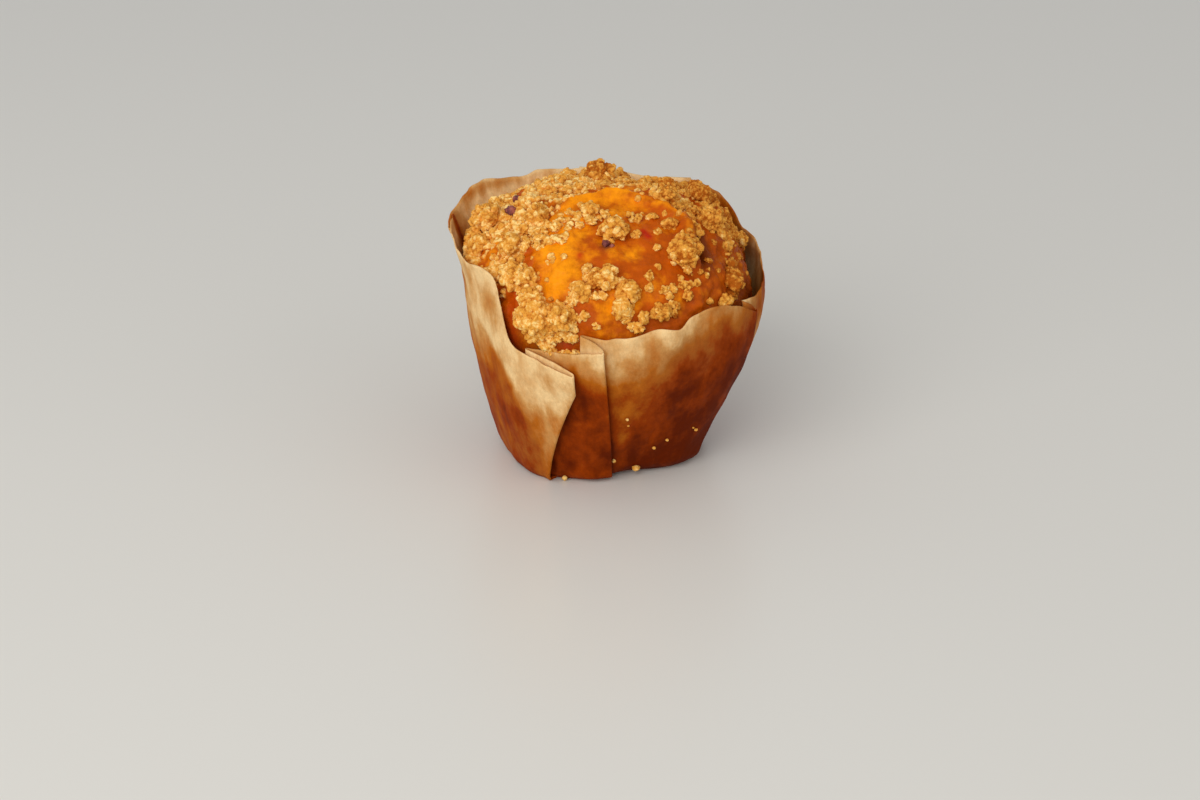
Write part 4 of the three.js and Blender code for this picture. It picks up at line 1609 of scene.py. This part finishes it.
@dataclass
class Crumble:
    """The crumble topping: lumps, clumps and loose granules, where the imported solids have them."""

    cake: Cake
    case: PaperCase
    rims: Array
    lumps: tuple[Lump, ...] = each(
        Lump, (-28, 0.15, 5), (-31, 0.25, 3.4), (-18, 0.16, 3.1), (-43, 0.33, 3.2), (-36, 0.35, 2.4),
        (-2, 0.44, 3.1), (-11, 0.36, 2.4), (9, 0.38, 2.6), (6, 0.29, 2.4), (21, 0.27, 2), (42, 0.53, 4.1),
        (62, 0.3, 2.8), (81, 0.57, 3.3), (86, 0.77, 3.2), (117, 0.56, 2.6), (134, 0.65, 2.9),
        (-175, 0.62, 3.5), (-91, 0.43, 3.9), (-77, 0.34, 2.9), (-90, 0.65, 3.3), (-62, 0.66, 2.8),
        (-124, 0.7, 3.3), (5, 0.7, 3.1), (-55, 0.46, 2.9),
    )
    knob_height: float = 0.75
    finer_knob: float = 0.42
    finer_height: float = 0.4
    lumpy_from: float = 0.72
    lumpiness: float = 0.3
    small_lumpiness: float = 0.8
    small_below: float = 1.5
    sunk: float = 0.34
    finer_from: float = 3.05
    standing_from: float = 3.95
    roughness: float = 0.22
    flatness: tuple[float, float] = (0.72, 1.0)
    clumps: int = 104
    tries: int = 2000
    clump_size: tuple[float, float] = (2.4, 1.0)
    spacing: float = 0.72
    seed: int = 11
    margin: float = 0.45
    paper: float = 0.225
    rim_reach: float = 9.0
    most_lift: float = 3.0
    clearing_share: float = 1.1
    handful_turn: float = 2.4
    small_flatness: tuple[float, float] = (0.6, 1.05)
    small_rise: float = 0.35
    bare: tuple[CrustPatch, ...] = each(
        CrustPatch, (11, 0.55, 9), (-26, 0.53, 8), (53, 0.83, 6), (-25, 0.88, 7), (54, 0.4, 7),
    )
    rich: tuple[CrustPatch, ...] = each(
        CrustPatch, (92, 0.76, 7), (88, 0.61, 8), (76, 0.4, 6), (100, 0.5, 8), (118, 0.35, 8),
        (-28, 0.15, 7), (42, 0.53, 4.5),
    )
    clearings: tuple[Spot, ...] = each(
        Spot, (-12.4, -28.8, 3.6), (-29.0, -14.8, 3.4), (-17.4, -20.4, 3.0), (-4.0, -0.8, 3.0),
        (-14.7, -5.9, 3.2), (-23.4, -27.6, 2.6), (-11.5, -13.0, 3.8), (-8.5, -6.5, 3.2),
    )
    scatters: tuple[Scatter, ...] = each(
        Scatter, (-6, 0.46, 2.6, 6), (-12, 0.35, 2.6, 6), (-13, 0.16, 0.4, 1, 1.7), (7, 0.42, 1.0, 2, 0.9),
        (19, 0.45, 0.2, 1, 1.2), (9, 0.36, 2.0, 5), (7, 0.28, 1.6, 4, 0.9), (19, 0.39, 0.9, 2, 0.8),
        (26, 0.36, 2.0, 5, 0.9), (34, 0.42, 0.4, 1, 0.9), (40, 0.37, 0.5, 1, 0.7), (34, 0.33, 0.6, 2, 1.2),
        (22, 0.28, 0.8, 2, 1.3), (-4, 0.19, 0.4, 1, 1.0), (14, 0.23, 0.9, 2, 1.4), (21, 0.67, 0.5, 2, 0.8),
        (31, 0.59, 0.6, 2, 0.8), (37, 0.67, 0.6, 2, 0.7), (3, 0.65, 0.3, 1, 0.7), (7, 0.73, 2.4, 6),
        (33, 0.77, 2.0, 4, 0.9), (-29, 0.75, 3.4, 8, 1.2), (-44, 0.63, 4.5, 10, 1.2),
        (-30, 0.59, 3.0, 5, 1.0), (-47, 0.53, 4.0, 8, 1.1), (-63, 0.65, 4.0, 8, 1.2),
        (-87, 0.33, 3.0, 5, 1.1), (40, 0.45, 1.2, 3, 0.9), (-23, 0.52, 0.6, 2, 0.6),
        (-29, 0.49, 0.6, 2, 0.6), (51, 0.41, 3.0, 6, 0.5), (66, 0.33, 2.4, 6, 0.8), (60, 0.24, 1.6, 3, 0.8),
        (44, 0.28, 0.6, 1, 0.5), (88, 0.61, 3.3, 7), (84, 0.75, 3.0, 6), (-53, 0.31, 3.0, 6, 1.0),
        (-23, 0.18, 2.4, 5, 1.0), (75, 0.5, 5.0, 8, 0.7), (100, 0.45, 6.0, 9, 0.8), (118, 0.4, 6.0, 9, 0.8),
        (-15, 0.11, 2.0, 7, 1.3), (-22, 0.08, 2.4, 8, 1.3), (-29, 0.07, 2.4, 7, 1.3),
        (-35, 0.07, 2.0, 5, 1.3), (-10, 0.24, 1.8, 5, 1.0), (5, 0.25, 1.8, 5, 0.9), (-16, 0.3, 1.5, 4, 1.0),
        (11, 0.19, 1.4, 4, 1.0), (26, 0.3, 2.5, 5, 0.7), (35, 0.37, 1.8, 5, 0.7), (47, 0.76, 1.0, 3, 0.8),
        (-5, 0.8, 1.4, 4, 0.8), (-3, 0.36, 1.6, 4, 0.9), (-24, 0.0, 2.0, 7, 1.3), (-43, 0.7, 4.5, 10, 0.9),
        (-17, -0.03, 1.8, 7, 1.2), (-12, -0.01, 1.2, 4, 1.0), (-21, -0.05, 1.5, 5, 1.1),
    )
    left_from: tuple[float, float] = (-2.0, -16.0)
    back_from: tuple[float, float] = (3.0, 10.0)
    least_cover: float = 0.3
    sticky_above: tuple[float, float] = (-0.35, 0.3)
    dome_arc: float = 50.0
    paler: float = 0.12
    # Spots where the crumbs are darker, partly toasting and partly painted shade; the one with a strength
    # under 0 makes them paler.
    toasted_and_shaded: tuple[Spot, ...] = each(
        Spot, (-1.9, 20.5, 5.0, 0.4), (25.0, 18.0, 8.0, 0.15), (32.0, -15.0, 7.0, 0.25),
        (-22.0, 8.0, 9.0, -0.16), (1.5, -16.0, 5.0, 0.2),
    )

    def thick(self, points: Array) -> Array:
        """How thickly the finer granules lie, which also gather between the clumps.

        Args:
            points: points of the crust, in mm.

        Returns:
            The thickness from 0 to 1.
        """
        cover = self.cover(points) * smooth((22.0 - points[..., 0] + 1.2 * points[..., 1]) / 16.0)
        for patch in self.rich:
            cover = np.maximum(cover, 0.9 * patch.at(self.cake, points))
        cover = cover * smooth(0.8 + 1.1 * noise_at(points, 5.0, 21.0, 2))
        for spot in self.clearings:
            cover = cover * (1.0 - spot.at(points))
        bearing = bearing_of(points)
        room = self.cake.wall.radius(bearing, points[..., 2]) - np.hypot(points[..., 0], points[..., 1])
        below = points[..., 2] < self.case.rim_height(bearing) + 0.5
        return cover * np.where(below, smooth((room - 1.2) / 1.0), 1.0)

    def in_clearing(self, centre: Array) -> bool:
        """Whether a clump would lie where the crust shows bare."""
        away = [math.hypot(centre[0] - spot.x, centre[1] - spot.y) / spot.reach for spot in self.clearings]
        return min(away) < self.clearing_share

    def scattered(self) -> list[Ball]:
        """The small crumbs of every handful."""
        random = seeded(self.seed + 4)
        balls = []
        for group in self.scatters:
            middle = self.cake.skin(group.bearing, group.up)
            width = math.hypot(middle[0], middle[1])
            for index in range(group.count):
                turn = self.handful_turn * index + 6.28 * next(random)
                away = group.reach * math.sqrt((index + 0.3) / group.count)
                bearing = group.bearing + math.degrees(away * math.cos(turn) / width)
                up = group.up + away * math.sin(turn) / self.dome_arc
                size = group.largest * (1.0 - 0.45 * next(random))
                flat = float(lerp(*self.small_flatness, next(random)))
                normal = self.cake.normal(bearing, up)
                centre = self.cake.skin(bearing, up) + normal * size * self.small_rise
                balls.append(Ball(size, centre, flat, normal))
        return balls

    def rim_height(self, bearing: float) -> float:
        """The highest rim near a bearing."""
        near = np.abs(turn_from(self.rims[:, 0], bearing)) < self.rim_reach
        return float(self.rims[near, 1].max())

    def cover(self, points: Array) -> Array:
        """How thickly crumbs lie at points of the crust, from 0 to 1.

        Args:
            points: points of the crust, in mm.

        Returns:
            The thickness.
        """
        leftward = fade(points[..., 0], *self.left_from)
        backward = fade(points[..., 1], *self.back_from)
        cover = lerp(lerp(self.least_cover, 1.0, leftward), 1.0, backward)
        for patch in self.bare:
            cover = cover * (1.0 - patch.at(self.cake, points))
        return cover

    def has_room(self, point: Array, size: float) -> bool:
        """Whether a crumb there would still show once it is clear of the paper.

        Args:
            point: where it lies on the crust.
            size: its radius in mm.

        Returns:
            Whether it shows.
        """
        bearing = float(bearing_of(point))
        if point[2] > self.rim_height(bearing):
            return True
        room = self.cake.wall.radius(bearing, point[2]) - self.paper - self.margin
        return math.hypot(point[0], point[1]) + size < room

    def clear_of_paper(self, centre: Array, size: float) -> Array:
        """Moves a crumb's centre up where it almost clears the rim, and else in.

        Args:
            centre: its middle.
            size: its largest radius in mm.

        Returns:
            Its new middle.
        """
        bearing = float(bearing_of(centre))
        bottom = centre[2] - size
        lift = self.rim_height(bearing) + self.margin - bottom
        if lift < self.most_lift:
            return centre + (0.0, 0.0, max(0.0, lift))
        room = self.cake.wall.radius(bearing, max(bottom, 0.0)) - self.paper - self.margin - size
        return place(bearing, min(math.hypot(centre[0], centre[1]), room), centre[2])

    def ball(self, lump: Lump, random: Iterator[float]) -> Ball:
        """A lump as a ball where it lies clear of the paper, drawn as for the solids.

        Args:
            lump: the lump.
            random: where its numbers are drawn from.

        Returns:
            The ball.
        """
        flat = float(lerp(*self.flatness, next(random)))
        next(random)
        normal = self.cake.normal(lump.bearing, lump.up)
        widest = lump.size * (1 + self.roughness / 2)
        lift = lump.size * flat * (1 - 2 * self.sunk)
        centre = self.clear_of_paper(self.cake.crust(lump.bearing, lump.up) + normal * lift, widest)
        for _ in range(42 if lump.size > self.finer_from else 12):
            next(random)
        return Ball(lump.size, centre, flat, normal)

    def balls(self) -> tuple[list[Ball], list[Ball]]:
        """Every lump and every clump, the clumps where there is room between the others."""
        random = seeded(self.seed)
        lumps = [self.ball(lump, random) for lump in self.lumps]
        taken = [(self.cake.crust(lump.bearing, lump.up), lump.size) for lump in self.lumps]
        clumps: list[Ball] = []
        golden_turn = math.degrees(math.pi * (3 - math.sqrt(5)))
        for index in range(self.tries):
            if len(clumps) == self.clumps:
                break
            size = float(lerp(*self.clump_size, math.sqrt(len(clumps) / self.clumps)))
            bearing = index * golden_turn
            up = math.asin(next(random)) / (math.pi / 2)
            point = self.cake.crust(bearing, up)
            free = all(math.dist(at, point) > self.spacing * (width + size) for at, width in taken)
            if not free or not self.has_room(point, size) or next(random) > float(self.cover(point)):
                continue
            taken.append((point, size))
            clumps.append(self.ball(Lump(bearing, up, size), random))
        return lumps, [clump for clump in clumps if not self.in_clearing(clump.centre)]

    def knobbly(self, ball: Ball, index: int, unit: Array, knob: float) -> tuple[Array, Array]:
        """One crumb's points and tones.

        Args:
            ball: the crumb.
            index: its number among its kind, which gives it a shape of its own.
            unit: the points of a ball of radius 1.
            knob: how far apart its knobs are, in mm.

        Returns:
            Its points in mm and the tone at each.
        """
        centre = self.cake.settled(ball.centre) if ball.size < self.standing_from else ball.centre
        is_small = ball.size <= self.small_below
        lumpiness = self.small_lumpiness if is_small else self.lumpiness
        lumpy = self.lumpy_from + lumpiness * noise_at(unit, 0.9, index * 3.7, 3)
        squashed = (1.0, 1.0, ball.flat)
        height, tone = knobs_at(unit * ball.size * squashed, knob, index * 5.3)
        finer, fine_tone = knobs_at(unit * ball.size * squashed, knob * self.finer_knob, index * 7.9)
        grown = ball.size * lumpy + self.knob_height * knob * (height + self.finer_height * finer)
        stand = Vector((0, 0, 1)).rotation_difference(Vector(ball.normal)).to_matrix()
        # Each crumb is darker between its knobs and lighter on their tops: painted shade in the hollows and
        # painted light on the tops. The spots add toasting and painted shade, and each knob's own tone varies
        # at random.
        browned_and_shaded = total(self.toasted_and_shaded, centre) - self.paler * is_small
        tones = 0.04 - browned_and_shaded + height * (0.35 + 0.25 * tone) + finer * (0.12 + 0.2 * fine_tone)
        return (unit * grown[:, None] * squashed) @ np.array(stand).T + centre, tones

    def cores(self, name: str, balls: list[Ball], make: CrumbMake) -> Object:
        """Some crumbs as one mesh of knobbly balls, marked where loose granules may stick.

        Args:
            name: the object's name.
            balls: the crumbs.
            make: how they are shaped.

        Returns:
            The object, with marks named cover and tone.
        """
        unit, corners = unit_ball(make.fineness)
        made = [self.knobbly(ball, index, unit, make.knob) for index, ball in enumerate(balls)]
        cover = np.tile(fade(unit[:, 2], *self.sticky_above), len(balls))
        marks = {"cover": cover, "tone": np.concatenate([tones for _, tones in made])}
        return joined_balls(name, [points for points, _ in made], corners, marks)


@dataclass(frozen=True)
class GranuleSizes:
    """How granules cover a surface, in mm."""

    spacing: float
    smallest: float
    largest: float
    rise: float
    roughness: float
    seed: int
    keep_surface: bool


ON_LUMPS = GranuleSizes(2.6, 0.5, 1.2, -0.2, 1.3, 3, True)
ON_CLUMPS = GranuleSizes(2.6, 0.45, 0.95, -0.2, 1.1, 5, True)
LOOSE = GranuleSizes(1.5, 0.45, 1.2, -0.15, 1.4, 7, False)


class GranuleTree:
    """Geometry Nodes that cover a surface with rough granules, thick where it is marked so."""

    INPUTS = {
        "Surface": "Geometry",
        "Spacing": "Float",
        "Smallest": "Float",
        "Largest": "Float",
        "Rise": "Float",
        "Roughness": "Float",
        "Seed": "Int",
        "Keep surface": "Bool",
        "Finish": "Material",
    }
    DENSEST = 4.0e6
    SQUASH = (0.6, 1.25)
    TONES = (0.35, 0.85)
    BUMP_SCALE = 1100.0

    def __init__(self) -> None:
        """Makes the tree."""
        self.tree = bpy.data.node_groups.new("granules_on_surface", "GeometryNodeTree")
        for name, kind in self.INPUTS.items():
            self.tree.interface.new_socket(name, in_out="INPUT", socket_type=f"NodeSocket{kind}")
        self.tree.interface.new_socket("Granules", in_out="OUTPUT", socket_type="NodeSocketGeometry")
        self.maker = NodeMaker(self.tree)
        self.given = self.maker.add("NodeGroupInput").outputs
        self.fill()

    def granule(self) -> Socket:
        """One round granule of a few faces, a millimetre in radius per unit of scale."""
        maker = self.maker
        cube = maker.out("GeometryNodeMeshCube", {"Size": (1.0, 1.0, 1.0)})
        finer = maker.out("GeometryNodeSubdivisionSurface", {"Mesh": cube, "Level": 1})
        spot = maker.out("GeometryNodeInputPosition")
        round_spot = maker.out("ShaderNodeVectorMath", {"0": spot}, operation="NORMALIZE")
        return maker.out("GeometryNodeSetPosition", {"Geometry": finer, "Position": round_spot})

    def random(self, low: object, high: object, shift: int, kind: str = "FLOAT") -> Socket:
        """A number or a vector for each granule, drawn from low to high with a seed of its own.

        Args:
            low: the least.
            high: the most.
            shift: sets its seed apart.
            kind: a number or a vector.

        Returns:
            The drawn value.
        """
        seed = self.maker.math("ADD", self.given["Seed"], float(shift))
        ends = {"Min": low, "Max": high} if kind == "FLOAT" else {"Min": (low,) * 3, "Max": (high,) * 3}
        return self.maker.out("FunctionNodeRandomValue", {**ends, "Seed": seed}, data_type=kind)

    def fill(self) -> None:
        """Adds the nodes that scatter, size, turn, realize and roughen the granules."""
        maker, given = self.maker, self.given
        cover = maker.out("GeometryNodeInputNamedAttribute", {"Name": "cover"}, data_type="FLOAT")
        scatter = maker.add(
            "GeometryNodeDistributePointsOnFaces",
            {
                "Mesh": given["Surface"],
                "Distance Min": given["Spacing"],
                "Density Max": self.DENSEST,
                "Density Factor": cover,
                "Seed": given["Seed"],
            },
            distribute_method="POISSON",
        )
        risen = maker.scaled(scatter.outputs["Normal"], given["Rise"])
        points = maker.out(
            "GeometryNodeSetPosition", {"Geometry": scatter.outputs["Points"], "Offset": risen}
        )
        size = self.random(given["Smallest"], given["Largest"], 1)
        scale = maker.scaled(self.random(*self.SQUASH, 2, "FLOAT_VECTOR"), size)
        turn = self.random(0.0, 6.28, 3, "FLOAT_VECTOR")
        placed = maker.out(
            "GeometryNodeInstanceOnPoints",
            {"Points": points, "Instance": self.granule(), "Rotation": turn, "Scale": scale},
        )
        toned = maker.out(
            "GeometryNodeStoreNamedAttribute",
            {"Geometry": placed, "Name": "tone", "Value": self.random(*self.TONES, 4)},
            data_type="FLOAT",
            domain="INSTANCE",
        )
        rough = self.roughened(maker.out("GeometryNodeRealizeInstances", {"Geometry": toned}))
        kept = maker.out(
            "GeometryNodeSwitch",
            {"Switch": given["Keep surface"], "True": given["Surface"]},
            input_type="GEOMETRY",
        )
        joined = maker.tree.nodes.new("GeometryNodeJoinGeometry")
        for part in (rough, kept):
            maker.tree.links.new(part, joined.inputs[0])
        smoothed = maker.out("GeometryNodeSetShadeSmooth", {"Geometry": joined.outputs[0]})
        ended = maker.out("GeometryNodeRealizeInstances", {"Geometry": smoothed})
        dressed = maker.out("GeometryNodeSetMaterial", {"Geometry": ended, "Material": given["Finish"]})
        maker.add("NodeGroupOutput", {"Granules": dressed})

    def roughened(self, geometry: Socket) -> Socket:
        """Pushes the granules' surfaces in and out, so that no two are alike.

        Args:
            geometry: the granules.

        Returns:
            The rough granules.
        """
        maker = self.maker
        noisy = maker.out("ShaderNodeTexNoise", {"Scale": self.BUMP_SCALE, "Detail": 2.0, "Roughness": 0.7})
        push = maker.math("MULTIPLY", maker.math("SUBTRACT", noisy, 0.5), self.given["Roughness"])
        offset = maker.scaled(maker.out("GeometryNodeInputNormal"), push)
        return maker.out("GeometryNodeSetPosition", {"Geometry": geometry, "Offset": offset})

    def run(self, name: str, surface: Object, sizes: GranuleSizes, finish: Material) -> Object:
        """Covers a surface and returns the granules as a plain mesh object.

        Args:
            name: the new object's name.
            surface: the object that they lie on, with a mark named cover.
            sizes: how they cover it.
            finish: their material.

        Returns:
            The new object, at the origin.
        """
        modifier = surface.modifiers.new("granules", "NODES")
        modifier.node_group = self.tree
        values = {
            "Spacing": sizes.spacing * MM,
            "Smallest": sizes.smallest * MM,
            "Largest": sizes.largest * MM,
            "Rise": sizes.rise * MM,
            "Roughness": sizes.roughness * MM,
            "Seed": sizes.seed,
            "Keep surface": sizes.keep_surface,
            "Finish": finish,
        }
        for item in self.tree.interface.items_tree:
            if item.item_type == "SOCKET" and item.in_out == "INPUT" and item.name in values:
                modifier[item.identifier] = values[item.name]
        surface.update_tag()
        evaluated = surface.evaluated_get(bpy.context.evaluated_depsgraph_get())
        mesh = bpy.data.meshes.new_from_object(evaluated)
        surface.modifiers.remove(modifier)
        mesh.name = name
        made = bpy.data.objects.new(name, mesh)
        bpy.context.scene.collection.objects.link(made)
        return made


@dataclass(frozen=True)
class PaperCrumb:
    """A crumb stuck to the outside of the case, by bearing, height and radius."""

    bearing: float
    z: float
    size: float


@dataclass
class StrayCrumbs:
    """The few crumbs that stuck to the outside of the case and at its foot."""

    case: PaperCase
    crumbs: tuple[PaperCrumb, ...] = each(
        PaperCrumb, (9, 21.7, 0.45), (10, 19.1, 0.3), (27, 9.6, 0.5), (33, 11.8, 0.45), (48, 13.2, 0.5),
        (19, 2.6, 0.95), (21, 2.4, 0.7), (4, 6.5, 0.6), (-25, 0.9, 0.75), (46, 14.2, 0.3), (118, 17.0, 0.5),
        (-140, 24.0, 0.4),
    )
    mm_per_degree: float = 0.5
    flatness: float = 0.8
    tone: float = 0.8

    def build(self, finish: Material) -> Object:
        """Makes them as one object of rough balls that rest on the paper.

        Args:
            finish: their material.

        Returns:
            The object.
        """
        middle, bearing, z, _ = self.case.middle()
        outside = self.case.faced(middle, 1.0).reshape(-1, 3)
        around, height = bearing.ravel(), z.ravel()
        unit, corners = unit_ball(2)
        shapes = []
        for index, crumb in enumerate(self.crumbs):
            off = np.hypot(turn_from(around, crumb.bearing) * self.mm_per_degree, height - crumb.z)
            near = np.flatnonzero(off < off.min() + 0.6)
            reach = np.hypot(outside[near, 0], outside[near, 1]).max()
            centre = place(crumb.bearing, reach + crumb.size * 0.45, max(crumb.z, crumb.size * self.flatness))
            lumpy = 1.0 + 0.3 * noise_at(unit, 0.7, index * 5.1, 2)
            shapes.append(unit * lumpy[:, None] * crumb.size * (1.0, 1.0, self.flatness) + centre)
        tones = np.full(len(shapes) * len(unit), self.tone)
        made = joined_balls("stray_crumbs", shapes, corners, {"tone": tones})
        made.data.materials.append(finish)
        return made


@dataclass
class Fruit:
    """Bits of dark fruit that show through the crust between the crumbs."""

    cake: Cake
    bits: tuple[Lump, ...] = each(
        Lump, (-89, 0.57, 1.7), (-97, 0.6, 1.0), (-108, 0.57, 1.2), (-66, 0.6, 1.1), (-1, 0.635, 0.9),
        (3, 0.62, 0.6), (-174, 0.66, 1.4), (-150, 0.4, 1.2),
    )
    rise: float = 0.05
    wrinkles: float = 0.4

    def build(self, finish: Material) -> Object:
        """Makes them as one object of wrinkled drops, half sunk in the crust.

        Args:
            finish: their material.

        Returns:
            The object.
        """
        unit, corners = unit_ball(3)
        shapes = []
        for index, bit in enumerate(self.bits):
            wrinkled = 1.0 + self.wrinkles * noise_at(unit, 0.6, index * 2.3, 2)
            rise = self.cake.normal(bit.bearing, bit.up) * bit.size * self.rise
            shapes.append(unit * wrinkled[:, None] * bit.size + (self.cake.crust(bit.bearing, bit.up) + rise))
        made = joined_balls("fruit_bits", shapes, corners)
        made.data.materials.append(finish)
        return made


@dataclass
class Muffin:
    """The whole muffin: case, cake, crumble, fruit and stray crumbs."""

    wall: Wall = field(default_factory=Wall)
    lump_make: CrumbMake = CrumbMake(1.9, 5)
    clump_make: CrumbMake = CrumbMake(1.5, 4)
    small_make: CrumbMake = CrumbMake(0.8, 3)
    rim_step: float = 3.0

    def rims(self) -> Array:
        """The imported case's rim as bearing and height, for keeping crumbs off it."""
        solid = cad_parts["paper_case"].data
        points = np.array([v.co for v in solid.vertices]) / MM
        bearing = bearing_of(points)
        edges = np.arange(-180.0, 181.0, self.rim_step)
        rims = []
        for low, high in zip(edges[:-1], edges[1:]):
            inside = (bearing >= low) & (bearing < high)
            if inside.any():
                rims.append(((low + high) / 2, points[inside, 2].max()))
        return np.array(rims)

    def build(self) -> None:
        """Makes every piece and joins it to the frame."""
        effects = Effects()
        streusel = Streusel().build(effects)
        case = PaperCase(self.wall)
        cake = Cake(self.wall)
        crumble = Crumble(cake, case, self.rims())
        self.dress(case.build(Parchment().build(effects)), "paper_case")
        cake_piece = cake.build(GlazedCrust().build(effects), crumble)
        case.keep_inside(cake_piece)
        lumps, clumps = crumble.balls()
        large = [ball for ball in lumps if ball.size > crumble.finer_from]
        small = [ball for ball in lumps if ball.size <= crumble.finer_from]
        lump_cores = crumble.cores("lump_cores", large, self.lump_make)
        clump_cores = crumble.cores("clump_cores", small + clumps, self.clump_make)
        small_crumbs = crumble.cores("small_crumbs", crumble.scattered(), self.small_make)
        small_crumbs.data.materials.append(streusel)
        tree = GranuleTree()
        crumbs = [
            tree.run("crumble_lumps", lump_cores, ON_LUMPS, streusel),
            tree.run("crumble_clumps", clump_cores, ON_CLUMPS, streusel),
            tree.run("crumble_granules", cake_piece, LOOSE, streusel),
            small_crumbs,
        ]
        for core in (lump_cores, clump_cores):
            bpy.data.objects.remove(core)
        for piece in crumbs:
            case.keep_inside(piece)
        fruit_bits = Fruit(cake).build(CookedFruit().build(effects))
        stray_crumbs = StrayCrumbs(case).build(streusel)
        for piece in (cake_piece, *crumbs, fruit_bits, stray_crumbs):
            self.dress(piece, "muffin")

    def dress(self, piece: Object, node: str) -> None:
        """Joins a piece to the frame in place of a node, and reports it.

        Args:
            piece: the piece.
            node: the node that it stands in for.
        """
        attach(piece, BODY)
        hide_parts(node)
        triangles = sum(len(polygon.vertices) - 2 for polygon in piece.data.polygons)
        LOG.info("%s: %d triangles, in place of %s", piece.name, triangles, node)


@dataclass
class Studio:
    """A pale floor, soft light from the upper left and the camera at the photograph's angle."""

    lens: float = 74.1
    aim: tuple[float, float, float] = (-0.0018, 0.0, 0.0117)
    distance: float = 0.65
    elevation: float = 26.0
    floor_colour: Colour = srgb(218, 214, 205)
    floor_reach: float = 3000.0
    floor_roughness: float = 0.32
    lamp_size: float = 1.0
    lit: tuple[float, float, float] = (0.0, 0.0, 0.035)
    key_at: tuple[float, float, float] = (-0.46, -0.8, 0.66)
    key_power: float = 8.6
    fill_at: tuple[float, float, float] = (0.8, -0.6, 0.4)
    fill_power: float = 1.6
    sky: float = 0.56
    sky_colour: Colour = (0.95, 0.97, 1.0, 1.0)

    def camera(self) -> None:
        """Adds the camera."""
        data = bpy.data.cameras.new("camera")
        data.lens = self.lens
        data.clip_start, data.clip_end = 0.01, 20.0
        camera = bpy.data.objects.new("camera", data)
        angle = math.radians(self.elevation)
        back = Vector((0.0, -math.cos(angle), math.sin(angle)))
        camera.location = Vector(self.aim) + back * self.distance
        camera.rotation_euler = back.to_track_quat("Z", "Y").to_euler()
        bpy.context.scene.collection.objects.link(camera)
        bpy.context.scene.camera = camera

    def light(self, name: str, spot: tuple[float, float, float], power: float) -> None:
        """Adds one soft square light that faces the muffin.

        Args:
            name: its name.
            spot: where it hangs, in metres.
            power: in watts.
        """
        data = bpy.data.lights.new(name, "AREA")
        data.size, data.energy = self.lamp_size, power
        lamp = bpy.data.objects.new(name, data)
        lamp.location = spot
        lamp.rotation_euler = (Vector(self.lit) - Vector(spot)).to_track_quat("-Z", "Y").to_euler()
        bpy.context.scene.collection.objects.link(lamp)

    def floor(self) -> None:
        """Adds the plain pale floor, with a faint gloss."""
        corners = self.floor_reach * np.array([(-1, -1, 0), (1, -1, 0), (1, 1, 0), (-1, 1, 0)])
        floor = new_object("floor", corners, [(0, 1, 2, 3)])
        material, _, shader = new_material("pale_floor")
        shader.inputs["Base Color"].default_value = self.floor_colour
        shader.inputs["Roughness"].default_value = self.floor_roughness
        floor.data.materials.append(material)

    def build(self) -> None:
        """Adds the whole studio."""
        self.camera()
        self.light("key", self.key_at, self.key_power)
        self.light("fill", self.fill_at, self.fill_power)
        self.floor()
        world = bpy.data.worlds.new("studio")
        world.use_nodes = True
        sky = world.node_tree.nodes["Background"]
        sky.inputs["Color"].default_value = self.sky_colour
        sky.inputs["Strength"].default_value = self.sky
        bpy.context.scene.world = world
        bpy.context.scene.view_settings.view_transform = "Standard"


def main() -> None:
    """Builds the studio and the muffin."""
    logging.basicConfig(level=logging.INFO, format="%(message)s")
    noise.seed_set(KNOB_SEED)
    Studio().build()
    Muffin().build()


if __name__ == "__main__":
    main()
